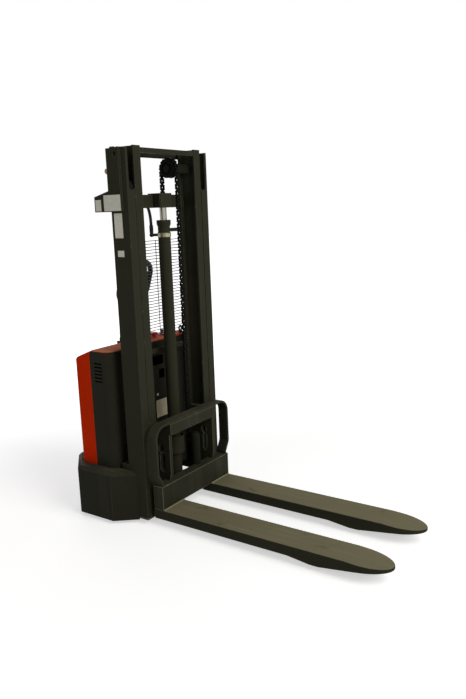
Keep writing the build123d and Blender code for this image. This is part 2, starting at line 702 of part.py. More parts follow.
def hose():
    """Leak-off hose from the barrel's head, looped behind the mast and led down to the hood."""
    path = hose_path()
    print("hose length", round(path.length, 1))
    tube = sweep(Plane(path @ 0, z_dir=path % 0) * Circle(HOSE_RADIUS), path=path)
    print("hose volume", round(tube.volume), "section by length", round(pi * HOSE_RADIUS ** 2 * path.length))
    return tube


keep("cylinder_barrel", barrel())
keep("cylinder_gland", gland())
keep("cylinder_clamp", cylinder_clamp())
keep("cylinder_hose", hose())
keep("ram", ram())
keep("lift_beam", lift_beam())


# Leaf chain
CHAIN_OUTER = ((CHAIN_Y[0], CHAIN_Y[0] + CHAIN_SIDE), (CHAIN_Y[1] - CHAIN_SIDE, CHAIN_Y[1]))
CHAIN_INNER = ((CHAIN_Y[0] + CHAIN_SIDE, CHAIN_Y[1] - CHAIN_SIDE),)
CHAIN_MIDDLE_Y = sum(CHAIN_Y) / 2
FRONT_CHAIN_X = CHAIN_WHEEL_X + CHAIN_RADIUS
REAR_CHAIN_X = CHAIN_WHEEL_X - CHAIN_RADIUS
FRONT_PIN_Z = CHAIN_WHEEL_Z - CHAIN_PITCH * FRONT_LINKS
REAR_PIN_Z = CHAIN_WHEEL_Z - CHAIN_PITCH * REAR_LINKS


def chain_link(begin, end, layers):
    """Link plates between two pins in the x, z plane, one plate for each layer across the chain."""
    along = (end - begin).normalized()
    across_link = Vector(-along.Y, along.X)
    half = CHAIN_PLATE / 2
    outline = [
        begin - along * half, begin + across_link * half, end + across_link * half,
        end + along * half, end - across_link * half, begin - across_link * half,
    ]
    return [side([(point.X, point.Y) for point in outline], layer) for layer in layers]


def chain(pins, first):
    """Leaf chain over the pins: links alternate between the outer and the inner plates."""
    plates = []
    for number, (begin, end) in enumerate(zip(pins, pins[1:])):
        layers = CHAIN_OUTER if (number + first) % 2 == 0 else CHAIN_INNER
        plates += chain_link(begin, end, layers)
    return plates[0].fuse(*plates[1:])


def strand(x, links):
    """Pins of a hanging strand, from the level of the wheel's axle down."""
    return [Vector(x, CHAIN_WHEEL_Z - CHAIN_PITCH * number) for number in range(links + 1)]


def wheel_pins():
    """Pins of the half turn over the wheel, from the front strand to the rear strand."""
    centre = Vector(CHAIN_WHEEL_X, CHAIN_WHEEL_Z)
    turns = [pi * number / WRAP_LINKS for number in range(WRAP_LINKS + 1)]
    return [centre + Vector(cos(turn), sin(turn)) * CHAIN_RADIUS for turn in turns]


def wheel_drum(radius, y):
    """A cylinder about the chain wheel's axle."""
    return drum_y(CHAIN_WHEEL_X, CHAIN_WHEEL_Z, radius, y)


def chain_wheel():
    """Grooved wheel that the chain runs over, dished on its outer side."""
    wheel_y = (CHAIN_Y[0] - WHEEL_SIDE, CHAIN_Y[1] + WHEEL_SIDE)
    flange, thick = WHEEL_FLANGE
    wheel = wheel_drum(WHEEL_RIM, wheel_y)
    wheel += wheel_drum(flange, (wheel_y[0], wheel_y[0] + thick))
    wheel += wheel_drum(flange, (wheel_y[1] - thick, wheel_y[1]))
    dish_y = (wheel_y[0] - PAST, wheel_y[0] + WHEEL_SIDE)
    wheel -= wheel_drum(WHEEL_HUB[1], dish_y) - wheel_drum(WHEEL_HUB[0], past(dish_y))
    return wheel - wheel_drum(WHEEL_AXLE + RUNNING_GAP, past(wheel_y))


def wheel_bracket():
    """Arm from the left inner channel with the wheel's axle on its end."""
    arm_y = (CHAIN_Y[1] + WHEEL_SIDE + WHEEL_SHOULDER, INNER_WEB_Y[0])
    arm = block(ARM_X, arm_y, ARM_Z)
    arm = chamfer(edges_along(arm, Axis.Y, lambda place: place.Z > CHAIN_WHEEL_Z), ARM_CORNER)
    arm += wheel_drum(WHEEL_AXLE + WHEEL_SIDE, (CHAIN_Y[1] + WHEEL_SIDE + SEAM_GAP, arm_y[0]))
    return arm + wheel_drum(WHEEL_AXLE, (CHAIN_Y[0] - 2 * WHEEL_SIDE, arm_y[0]))


def front_anchor():
    """Round domed post on the carriage with a clevis at its back for the chain's end."""
    dome_z = ANCHOR_TOP_Z - ANCHOR_RADIUS
    post = drum_z(ANCHOR_X, CHAIN_MIDDLE_Y, ANCHOR_RADIUS, (CARRIAGE_TOP_Z, dome_z))
    post += Pos(ANCHOR_X, CHAIN_MIDDLE_Y, dome_z) * Sphere(ANCHOR_RADIUS)
    lug_x = (FRONT_CHAIN_X - LUG_HALF, ANCHOR_X)
    lug_z = (FRONT_PIN_Z - LUG_HEIGHT, FRONT_PIN_Z + LUG_HALF)
    for layer in CHAIN_OUTER:
        post += block(lug_x, layer, lug_z)
    return post


def rear_anchor():
    """Arm on the left outer channel with the tongue that holds the chain's other end."""
    arm = block((TIE_X[1], MAST_REAR_X), (CHAIN_Y[0] - CHAIN_CLEAR, OUTER_FACE_Y), REAR_ARM_Z)
    tongue_x = (REAR_CHAIN_X - LUG_HALF, REAR_CHAIN_X + LUG_HALF)
    return arm + block(tongue_x, CHAIN_INNER[0], (REAR_ARM_Z[0], REAR_PIN_Z + LUG_HALF))


keep("chain_wheel", chain_wheel())
keep("chain_wheel_bracket", wheel_bracket())
keep("chain_over_wheel", chain(wheel_pins(), 0))
keep("chain_front", chain(strand(FRONT_CHAIN_X, FRONT_LINKS), 1))
keep("chain_rear", chain(strand(REAR_CHAIN_X, REAR_LINKS), 1))
keep("chain_anchor_front", front_anchor())
keep("chain_anchor_rear", rear_anchor())


# Carriage


def carriage_beam():
    """Low beam that the forks hang on: a front plate, a ledge on top and closed ends."""
    beam_z = (FORK_TOP_Z - FORK_HEEL_SEAT, CARRIAGE_TOP_Z)
    back_x = (FORK_BACK_X, -BEAM_PLATE)
    beam = block((-BEAM_PLATE, 0), wide(FORK_HALF_SPAN), beam_z)
    lower = edges_along(beam, Axis.Y, lambda place: place.X > -PAST and place.Z < FORK_TOP_Z)
    beam = chamfer(lower, BEAM_EDGE)
    beam += block(back_x, wide(FORK_HALF_SPAN), (CARRIAGE_TOP_Z - BEAM_LEDGE, CARRIAGE_TOP_Z))
    end = block(back_x, (FORK_HALF_SPAN - BEAM_LEDGE, FORK_HALF_SPAN), beam_z)
    return beam + end + mirrored(end)


def carriage_uprights():
    """Two roller plates hooked over the ledge and joined by the upper cross plate."""
    bar_under = BACKREST_TOP_Z - BAR_THICK
    outline = [
        (UPRIGHT_REAR_X, UPRIGHT_FOOT_Z), (UPRIGHT_HOOK_X, UPRIGHT_FOOT_Z), (UPRIGHT_HOOK_X, CARRIAGE_TOP_Z),
        (UPRIGHT_TOE[0], CARRIAGE_TOP_Z), (CROSS_PLATE_X[0], UPRIGHT_TOE[1]), (CROSS_PLATE_X[0], bar_under),
        (UPRIGHT_SHOULDER[0], bar_under), (UPRIGHT_SHOULDER[1], UPRIGHT_SHOULDER[2]),
        (UPRIGHT_REAR_X, UPRIGHT_SHOULDER[2]),
    ]
    plate = side(outline, UPRIGHT_Y)
    plate -= drum_y(*UPRIGHT_HOLE, past(UPRIGHT_Y))
    slot_x, slot_z, length, width = UPRIGHT_SLOT
    slot = extrude(Plane.XZ * SlotOverall(length, width, rotation=90), UPRIGHT_Y[1], both=True)
    plate -= Pos(slot_x, UPRIGHT_Y[1], slot_z) * slot
    for z in CARRIAGE_ROLLER_Z:
        plate += drum_y(ROLLER_X, z, ROLLER_AXLE_RADIUS, (UPRIGHT_Y[1], CARRIAGE_ROLLER_Y[1] - COLLAR_GAP))
        plate += drum_y(ROLLER_X, z, ROLLER_HUB[0], (UPRIGHT_Y[1], CARRIAGE_ROLLER_Y[0] - COLLAR_GAP))
    cross = block(CROSS_PLATE_X, wide(UPRIGHT_Y[1]), (CROSS_PLATE_Z, bar_under))
    return plate + mirrored(plate) + cross


def backrest_bar():
    """Flat bar bent into a tall loop, drawn in at the feet where it meets the ledge."""
    high = BACKREST_TOP_Z - BAR_THICK / 2
    outer = BACKREST_HALF_SPAN - BAR_THICK / 2
    foot = FORK_HALF_SPAN - BAR_FOOT_INSET
    right = [
        (-foot, CARRIAGE_TOP_Z), (-foot, CARRIAGE_TOP_Z + BAR_FOOT_Z[0]),
        (-outer, CARRIAGE_TOP_Z + BAR_FOOT_Z[1]), (-outer, high),
    ]
    left = [(-y, z) for y, z in reversed(right)]
    path = FilletPolyline(*right, *left, radius=[*BAR_ROUND, *reversed(BAR_ROUND)])
    loop = trace(path, BAR_THICK)
    return extrude(Plane.YZ.offset(BACKREST_X[0]) * loop, BACKREST_X[1] - BACKREST_X[0])


keep("carriage_beam", carriage_beam())
keep("carriage_uprights", carriage_uprights())
keep("backrest_bar", backrest_bar())


# Chassis and covers
COVER_POST_Z = (PLATE_Z[1], COVER_Z[1] - COVER_WALL)


def chassis_frame():
    """Bulkhead behind the mast, drive plate with the steering seat, caster boxes and cover posts."""
    bulkhead_z = (LEG_TOP_Z, BULKHEAD_TOP_Z)
    frame = block(BULKHEAD_X, wide(OUTER_FACE_Y), bulkhead_z)
    frame += plan(closed([(BULKHEAD_X[0], PLATE_HALF), *PLATE_REAR]), PLATE_Z)
    frame -= drum_z(STEER_X, 0, BEARING_RADIUS, past(PLATE_Z))
    gusset = block((BULKHEAD_X[1], MAST_REAR_X), (WEB_INSIDE_Y, OUTER_FACE_Y), bulkhead_z)
    window = block(past(BULKHEAD_X), *BULKHEAD_WINDOW)
    caster_z = (CASTER_BOX_Z, PLATE_Z[0])
    caster_box = Pos(CASTER_X, CASTER_Y, sum(caster_z) / 2) * Box(*CASTER_BOX, caster_z[1] - caster_z[0])
    stem = drum_z(CASTER_X, CASTER_Y, CASTER_STEM + RUNNING_GAP, past((CASTER_BOX_Z, PLATE_Z[1])))
    post = Box(*POST_SIZE, COVER_POST_Z[1] - COVER_POST_Z[0])
    posts = [Pos(x, PLATE_HALF - POST_INSET, sum(COVER_POST_Z) / 2) * post for x in POST_X]
    for solid in (gusset, caster_box, *posts):
        frame += both(solid)
    for hole in (window, stem):
        frame -= both(hole)
    return frame


def cover_outline(inset):
    """Plan of the base cover, drawn in by the given distance."""
    outline = Polygon(*closed(COVER_SIDE), align=None)
    return offset(outline, -inset) if inset else outline


def hood_outline(grow):
    """Plan of the hood: large round front corners and slanted rear corners."""
    half = [
        (HOOD_FRONT_X, HOOD_HALF_WIDTH), (HOOD_CORNER_X, HOOD_HALF_WIDTH), (HOOD_REAR_X, HOOD_REAR_HALF),
    ]
    outline = Polygon(*closed(half), align=None)
    outline = fillet([corner for corner in outline.vertices() if corner.X > HOOD_SEAM_X], HOOD_FRONT_ROUND)
    outline = fillet([corner for corner in outline.vertices() if corner.X < HOOD_SEAM_X], HOOD_ROUND)
    return offset(outline, grow) if grow else outline


def base_cover():
    """Moulded skirt around the drive unit, open below and towards the mast."""
    body = raised(cover_outline(0), COVER_Z)
    rim = [edge for edge in edges_above(body, COVER_Z[1] - PAST) if edge.center().X < COVER_SIDE[0][0] - PAST]
    body = chamfer(rim, COVER_EDGE)
    cavity_z = (COVER_Z[0] - PAST, COVER_Z[1] - COVER_WALL)
    cavity = raised(cover_outline(COVER_WALL), cavity_z)
    body -= chamfer(edges_above(cavity, cavity_z[1] - PAST), COVER_INNER_EDGE)
    body -= raised(hood_outline(COVER_GAP), past(COVER_Z))
    mast_y = wide(OUTER_FACE_Y + SEAM_GAP)
    return body - block((COVER_MOUTH_X, MAST_FRONT_X), mast_y, past(COVER_Z))


def hood_body(grow, z, edge):
    """The hood as a solid: a level top that slopes down behind the ridge, with rounded edges."""
    body = raised(hood_outline(grow), z)
    drop = HOOD_TOP_Z - HOOD_REAR_Z
    slope = [(HOOD_RIDGE_X, z[1]), (HOOD_REAR_X, z[1] - drop), (HOOD_REAR_X, z[1] + PAST)]
    body -= side(slope, past(wide(HOOD_HALF_WIDTH)))
    rim = edges_above(body, z[1] - drop - PAST)
    return fillet([item for item in rim if abs(item.center().X - HOOD_RIDGE_X) > PAST], edge)


def hood_shell():
    """The whole hood as one thin shell, open below."""
    hood_z = (PLATE_Z[1], HOOD_TOP_Z)
    body = hood_body(0, hood_z, HOOD_TOP_ROUND)
    hollow_z = (hood_z[0] - PAST, HOOD_TOP_Z - HOOD_WALL)
    body -= hood_body(-HOOD_WALL, hollow_z, HOOD_TOP_ROUND - HOOD_WALL)
    top_z = past((HOOD_REAR_Z, HOOD_TOP_Z))
    body -= drum_z(STEER_X, 0, COLUMN_HOLE, top_z)
    for y in (STOP_Y, KEY_Y):
        body -= drum_z(SWITCH_X, y, SWITCH_STEM + RUNNING_GAP, top_z)
    return body


def front_space(seam_x, floor_z):
    """The space in front of the seam and under the top panel."""
    return block((seam_x, HOOD_FRONT_X + PAST), past(wide(HOOD_HALF_WIDTH)), (floor_z, HOOD_CAP_Z))


def hood_front():
    """Grey front cover with vent slots in its sides and service openings towards the mast."""
    cover = hood_shell() & front_space(HOOD_SEAM_X + SEAM_GAP, PLATE_Z[1])
    slot = extrude(Plane.XZ * SlotOverall(VENT_LENGTH, VENT_HEIGHT), 2 * HOOD_WALL, both=True)
    for number in range(VENT_COUNT):
        cover -= both(Pos(VENT_X, HOOD_HALF_WIDTH, VENT_BOTTOM_Z + VENT_PITCH * number) * slot)
    for y, z in SERVICE_OPENINGS:
        cover -= block(past((HOOD_FRONT_X - HOOD_WALL, HOOD_FRONT_X)), y, z)
    return cover


def hood_rear():
    """Coloured rear cover with the top panel that reaches to the front."""
    return hood_shell() - front_space(HOOD_SEAM_X, PLATE_Z[1] - PAST)


keep("chassis_frame", chassis_frame())
keep("base_cover", base_cover())
keep("hood_front", hood_front())
keep("hood_rear", hood_rear())


# Batteries, hydraulics and electrics under the hood
SHELF_Z = (BATTERY_TOP_Z, BATTERY_TOP_Z + SHELF)


def terminals(radius):
    """Left battery's posts, or the holes that they need in the shelf."""
    return [drum_z(x, TERMINAL_Y, radius, SHELF_Z) for x in TERMINAL_X]


def batteries():
    """One traction battery on each side of the drive motor, with its two posts."""
    case = block(BATTERY_X, BATTERY_Y, (PLATE_Z[1], BATTERY_TOP_Z))
    case = chamfer(case.edges().filter_by(Axis.Z), BATTERY_CORNER)
    return both(case + terminals(TERMINAL_RADIUS))


def hold_down():
    """Shelf over the batteries, cut round for the motor and notched for the posts."""
    shelf = block(BATTERY_X, wide(BATTERY_Y[1]), SHELF_Z)
    shelf = chamfer(shelf.edges().filter_by(Axis.Z), BATTERY_CORNER)
    shelf -= drum_z(STEER_X, 0, SHELF_CUT, past(SHELF_Z))
    shelf -= block((BATTERY_X[0] - PAST, STEER_X), wide(SHELF_CUT), past(SHELF_Z))
    for notch in terminals(TERMINAL_NOTCH):
        shelf -= both(notch)
    return shelf


def power_pack():
    """Hydraulic unit: a tank with a flanged pump motor on its side and a filler cap."""
    tank_z = (SHELF_Z[1], SHELF_Z[1] + TANK_HEIGHT)
    tank = block(TANK_X, TANK_Y, tank_z)
    tank = fillet(tank.edges().filter_by(Axis.Z), TANK_ROUND)
    tank += drum_y(PUMP_X, PUMP_Z, *PUMP_FLANGE)
    tank += drum_y(PUMP_X, PUMP_Z, *PUMP_MOTOR)
    filler_x, filler_y, radius, height = FILLER
    return tank + drum_z(filler_x, filler_y, radius, (tank_z[1], tank_z[1] + height))


def controller():
    """Motor controller with a finned back."""
    top_z = SHELF_Z[1] + CONTROL_HEIGHT
    case = block(CONTROL_X, CONTROL_Y, (SHELF_Z[1], top_z))
    fin_x = (CONTROL_X[0] + FIN_INSET, CONTROL_X[1] - FIN_INSET)
    for number in range(FIN_COUNT):
        y = CONTROL_Y[0] + FIN_INSET + FIN_PITCH * number
        case += block(fin_x, (y, y + FIN_THICK), (top_z, top_z + FIN_HEIGHT))
    return case


keep("batteries", batteries())
keep("battery_hold_down", hold_down())
keep("power_pack", power_pack())
keep("controller", controller())


# Drive unit
BRAKE_TOP_Z = MOTOR_TOP_Z + BRAKE[1]


def drive_gearbox():
    """Turntable with a gearbox leg beside the wheel and the wheel's axle."""
    turntable = drum_z(STEER_X, 0, BEARING_RADIUS - ROLLER_GAP, (PLATE_Z[0] - GEAR_LAP, TURNTABLE_TOP_Z))
    lip_z = (PLATE_Z[1] + ROLLER_GAP, TURNTABLE_TOP_Z)
    turntable += drum_z(STEER_X, 0, BEARING_RADIUS + TURNTABLE_LIP, lip_z)
    leg = drum_y(STEER_X, DRIVE_WHEEL_RADIUS, GEAR_RADIUS, GEAR_Y)
    leg_x = (STEER_X - GEAR_RADIUS, STEER_X + GEAR_RADIUS)
    leg += block(leg_x, GEAR_Y, (DRIVE_WHEEL_RADIUS, PLATE_Z[0] - GEAR_GAP))
    leg += drum_y(STEER_X, DRIVE_WHEEL_RADIUS, GEAR_CAP[0], (GEAR_Y[1], GEAR_Y[1] + GEAR_CAP[1]))
    axle_y = (GEAR_LAP - DRIVE_WHEEL_WIDTH / 2, GEAR_Y[0])
    return turntable + leg + drum_y(STEER_X, DRIVE_WHEEL_RADIUS, DRIVE_AXLE, axle_y)


def drive_motor():
    """Upright traction motor with a ribbed body and a brake cap."""
    motor = drum_z(STEER_X, 0, MOTOR_RADIUS, (TURNTABLE_TOP_Z, MOTOR_TOP_Z))
    for z in MOTOR_RIB_Z:
        motor += drum_z(STEER_X, 0, MOTOR_RIB[0], (z, z + MOTOR_RIB[1]))
    return motor + drum_z(STEER_X, 0, BRAKE[0], (MOTOR_TOP_Z, BRAKE_TOP_Z))


def steering_column():
    """Tube on the motor's cap with the fork and pin that the tiller tilts on."""
    base_half, base_low, base_high = YOKE_BASE
    yoke_z = PIVOT_Z - base_high
    column = drum_z(STEER_X, 0, BRAKE[0], (BRAKE_TOP_Z, BRAKE_TOP_Z + COLUMN_FLANGE))
    column += drum_z(STEER_X, 0, COLUMN_RADIUS, (BRAKE_TOP_Z, yoke_z))
    column += block((STEER_X - base_half, STEER_X + base_half), wide(YOKE_Y[1]), (PIVOT_Z - base_low, yoke_z))
    cheek = block((STEER_X - YOKE_HALF, STEER_X + YOKE_HALF), YOKE_Y, (yoke_z, PIVOT_Z))
    cheek += drum_y(STEER_X, PIVOT_Z, YOKE_HALF, YOKE_Y)
    return column + cheek + mirrored(cheek) + drum_y(STEER_X, PIVOT_Z, TILLER_PIN, wide(YOKE_Y[1]))


def drive_wheel():
    """Drive wheel: a thick tread on a dished hub."""
    wheel = ring(DRIVE_WHEEL_RADIUS, DRIVE_AXLE + RUNNING_GAP, DRIVE_WHEEL_WIDTH, DRIVE_WHEEL_EDGE)
    wheel = relieved(wheel, DRIVE_WHEEL_WIDTH, DRIVE_HUB, DRIVE_HUB_DEPTH)
    return across(wheel, STEER_X, 0, DRIVE_WHEEL_RADIUS)


keep("drive_gearbox", drive_gearbox())
keep("drive_motor", drive_motor())
keep("steering_column", steering_column())
keep("drive_wheel", drive_wheel())


# Tiller, drawn upright with its pivot at zero and then leaned forward
HUB_Y = wide(TILLER_HUB[1])


def leaned(piece):
    """Place a tiller piece on the pivot at the parked lean."""
    return Pos(STEER_X, 0, PIVOT_Z) * Rot(0, TILLER_LEAN, 0) * piece


def tiller_arm():
    """Arm from the pivot hub to the head, wider at the bottom."""
    low, high, depth = TILLER_ARM_HALF
    arm = front([(-low, 0), (low, 0), (high, HEAD_Z_LOW), (-high, HEAD_Z_LOW)], wide(depth))
    arm += drum_y(0, 0, TILLER_HUB[0], HUB_Y)
    return arm - drum_y(0, 0, TILLER_PIN + RUNNING_GAP, past(HUB_Y))


def tiller_head():
    """Head housing with a closed grip loop on each side and seats for the controls."""
    body = block(wide(HEAD_DEPTH), wide(HEAD_HALF), (HEAD_Z_LOW, HEAD_Z_HIGH))
    body = fillet(body.edges().filter_by(Axis.Z), HEAD_ROUND)
    root = HEAD_HALF - GRIP_ROOT
    low, high = GRIP_Z
    loop = [(0, root, low), (0, GRIP_REACH, low), (0, GRIP_REACH, high), (0, root, high)]
    path = FilletPolyline(*loop, radius=GRIP_ROUND)
    grip = sweep(Plane(path @ 0, z_dir=path % 0) * Circle(GRIP_RADIUS), path=path)
    body = body + grip + mirrored(grip)
    body -= drum_y(0, THROTTLE_Z, THROTTLE_AXLE + RUNNING_GAP, past(wide(HEAD_HALF)))
    body -= drum_z(0, 0, SWITCH_STEM + RUNNING_GAP, (BELLY_SEAT_Z[0], HEAD_Z_HIGH + PAST))
    half, rise, floor_x = ROCKER_SEAT
    body -= block((-HEAD_DEPTH - PAST, floor_x), wide(half), (ROCKER_Z - rise, ROCKER_Z + rise))
    body -= drum_y(ROCKER_X, ROCKER_Z, ROCKER_AXLE + RUNNING_GAP, past(wide(ROCKER_PIN)))
    return body - drum_x(0, HORN_Z, HORN_RADIUS + RUNNING_GAP, (-HEAD_DEPTH - PAST, HORN_SEAT_X))


def thumb_throttle():
    """Cross shaft with a thumb paddle on each side of the head."""
    length, width, half = PADDLE
    shaft = drum_y(0, THROTTLE_Z, THROTTLE_AXLE, wide(PADDLE_Y + half + PAST))
    paddle = across(extrude(SlotOverall(length, width), half, both=True), 0, PADDLE_Y, THROTTLE_Z)
    return shaft + paddle + mirrored(paddle)


def belly_button():
    """Reversing button across the end of the head."""
    cap = block(*BELLY_CAP)
    cap = fillet(cap.edges().filter_by(Axis.Z), BELLY_ROUND)
    return cap + drum_z(0, 0, SWITCH_STEM, (BELLY_SEAT_Z[1], BELLY_CAP[2][0]))


def lift_rocker():
    """Rocker for lifting and lowering, on its own cross pin."""
    return side(ROCKER_TOP, wide(ROCKER_HALF)) + drum_y(ROCKER_X, ROCKER_Z, ROCKER_AXLE, wide(ROCKER_PIN))


def horn_button():
    """Round horn button below the rocker."""
    return drum_x(0, HORN_Z, HORN_RADIUS, HORN_X)


def emergency_stop():
    """Mushroom button on the hood."""
    half = Plane.XZ * Polygon(*STOP_PROFILE, align=None)
    return Pos(SWITCH_X, STOP_Y, HOOD_TOP_Z - SWITCH_DEPTH) * revolve(half, Axis.Z)


def key_switch():
    """Key barrel with the key standing in it."""
    collar, collar_height = KEY_COLLAR
    thick, half, height = KEY_BLADE
    blade_x = (SWITCH_X - thick, SWITCH_X + thick)
    piece = drum_z(SWITCH_X, KEY_Y, SWITCH_STEM, (HOOD_TOP_Z - SWITCH_DEPTH, HOOD_TOP_Z + collar_height))
    piece += drum_z(SWITCH_X, KEY_Y, collar, (HOOD_TOP_Z + ROLLER_GAP, HOOD_TOP_Z + collar_height))
    piece += block(blade_x, (KEY_Y - half, KEY_Y + half), (HOOD_TOP_Z + collar_height, HOOD_TOP_Z + height))
    return piece + drum_x(KEY_Y, HOOD_TOP_Z + KEY_BOW[1], KEY_BOW[0], blade_x)


keep("tiller_arm", leaned(tiller_arm()))
keep("tiller_head", leaned(tiller_head()))
keep("thumb_throttle", leaned(thumb_throttle()))
keep("belly_button", leaned(belly_button()))
keep("lift_rocker", leaned(lift_rocker()))
keep("horn_button", leaned(horn_button()))
keep("emergency_stop", emergency_stop())
keep("key_switch", key_switch())


# Casters
CASTER_WHEEL_X = CASTER_X - CASTER_TRAIL


def caster_fork():
    """Left caster: a stem and crown with two trailing cheeks and the wheel's axle."""
    crown, height = CASTER_CROWN
    crown_z = (CASTER_BOX_Z - height, CASTER_BOX_Z - ROLLER_GAP)
    piece = drum_z(CASTER_X, CASTER_Y, CASTER_STEM, (crown_z[0], PLATE_Z[1]))
    piece += drum_z(CASTER_X, CASTER_Y, crown, crown_z)
    inside = CASTER_WIDTH / 2 + CASTER_CLEAR
    outside = inside + CASTER_CHEEK_THICK
    piece += side(CASTER_CHEEK, (CASTER_Y + inside, CASTER_Y + outside))
    piece += side(CASTER_CHEEK, (CASTER_Y - outside, CASTER_Y - inside))
    reach = outside + CASTER_CLEAR
    return piece + drum_y(CASTER_WHEEL_X, CASTER_RADIUS, CASTER_AXLE, (CASTER_Y - reach, CASTER_Y + reach))


def caster_wheel():
    """Left caster wheel with a hub recess."""
    wheel = ring(CASTER_RADIUS, CASTER_AXLE + RUNNING_GAP, CASTER_WIDTH, CASTER_EDGE)
    wheel = relieved(wheel, CASTER_WIDTH, CASTER_HUB, CASTER_HUB_DEPTH)
    return across(wheel, CASTER_WHEEL_X, CASTER_Y, CASTER_RADIUS)


keep("caster_fork_left", caster_fork())
keep("caster_fork_right", mirrored(caster_fork()))
keep("caster_wheel_left", caster_wheel())
keep("caster_wheel_right", mirrored(caster_wheel()))

os.makedirs("parts", exist_ok=True)
for name, shape in NODES.items():
    export_step(shape, f"parts/{name}.step")
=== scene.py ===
# %% [markdown]
# # Dressing a walk-behind pallet stacker
#
# The measured model gives every piece its real size and place, and says which body it moves with. This
# lesson adds what a camera sees: paint with dust and worn edges, some finishes with painted highlights,
# sheen, reflection and shade, a leaf chain with its plates and pins, round guard wires, a hydraulic hose,
# welds, bolts and blank plates.

# %% Load the measured model
import json
from math import cos, hypot, pi, radians, sin

import bpy
from mathutils import Matrix, Vector


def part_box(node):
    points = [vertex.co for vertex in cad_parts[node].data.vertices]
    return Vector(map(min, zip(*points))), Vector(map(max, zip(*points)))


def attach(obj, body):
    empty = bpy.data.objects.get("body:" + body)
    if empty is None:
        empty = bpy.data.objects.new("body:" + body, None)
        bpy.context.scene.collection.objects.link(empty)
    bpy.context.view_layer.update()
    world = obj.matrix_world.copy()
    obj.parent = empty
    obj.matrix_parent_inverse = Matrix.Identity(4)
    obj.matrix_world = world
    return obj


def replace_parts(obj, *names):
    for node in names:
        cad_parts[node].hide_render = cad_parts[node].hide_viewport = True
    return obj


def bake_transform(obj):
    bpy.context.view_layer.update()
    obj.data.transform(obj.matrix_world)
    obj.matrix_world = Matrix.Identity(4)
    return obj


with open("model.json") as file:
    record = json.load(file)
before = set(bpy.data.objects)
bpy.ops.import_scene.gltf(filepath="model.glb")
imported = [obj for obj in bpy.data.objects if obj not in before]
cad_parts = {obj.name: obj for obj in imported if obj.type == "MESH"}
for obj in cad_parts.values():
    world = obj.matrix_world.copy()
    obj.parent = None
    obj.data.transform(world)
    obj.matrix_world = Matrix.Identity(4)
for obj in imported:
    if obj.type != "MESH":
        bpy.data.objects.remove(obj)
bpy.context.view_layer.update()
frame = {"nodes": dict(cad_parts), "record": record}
NODES = frame["nodes"]
RECORD = frame["record"]
BODY_OF = {node: body for body, nodes in RECORD["behaviour"]["bodies"].items() for node in nodes}
scene = bpy.context.scene

# %% [markdown]
# ## Camera
#
# The photograph was taken from the front right, a little above waist height and looking slightly down. A
# camera could be turned by eye until it looks right. Here its place, turn, tilt and roll come from the
# known sizes of forks and mast, so edges fall on the same pixels as in the photograph.

# %% Camera at the photograph's standing place
PICTURE = (466, 699)
FOCAL_PIXELS = 686.9
SENSOR = 36.0
STAND = Vector((1.8133, -2.6635, 1.5273))
TURN = radians(-55.48)
TILT = radians(11.57)
ROLL = radians(-2.0)

look = Vector((-cos(TURN) * cos(TILT), -sin(TURN) * cos(TILT), -sin(TILT)))
level = look.cross(Vector((0, 0, 1))).normalized()
upright = level.cross(look)
right = cos(ROLL) * level + sin(ROLL) * upright
above = cos(ROLL) * upright - sin(ROLL) * level
bpy.ops.object.select_all(action="DESELECT")
bpy.ops.object.camera_add()
camera = bpy.context.object
camera.data.sensor_width = SENSOR
camera.data.lens = FOCAL_PIXELS * SENSOR / max(PICTURE)
turned = Matrix((right, above, -look)).transposed().to_4x4()
camera.matrix_world = Matrix.Translation(STAND) @ turned
scene.camera = camera
print("lens", round(camera.data.lens, 2), "mm, stands", [round(x, 3) for x in STAND])

# %% [markdown]
# ## Writing shaders as sums
#
# A finish is a small network of nodes: noise for mottling, the surface's direction for dust, and so on.
# Networks are hard to read when every node is placed one by one. Two small helpers keep them short. A
# Wire stands for a socket's value and takes part in sums, and a Finish adds any other node.


# %% Helpers for shader networks
class Wire:
    """A socket's value. Sums of wires add Math nodes."""

    def __init__(self, finish, socket):
        self.finish = finish
        self.socket = socket

    def maths(self, operation, first, second):
        return self.finish.node("ShaderNodeMath", {"operation": operation}, {0: first, 1: second})

    def __add__(self, other):
        return self.maths("ADD", self, other)

    def __radd__(self, other):
        return self.maths("ADD", other, self)

    def __sub__(self, other):
        return self.maths("SUBTRACT", self, other)

    def __rsub__(self, other):
        return self.maths("SUBTRACT", other, self)

    def __mul__(self, other):
        return self.maths("MULTIPLY", self, other)

    def __rmul__(self, other):
        return self.maths("MULTIPLY", other, self)


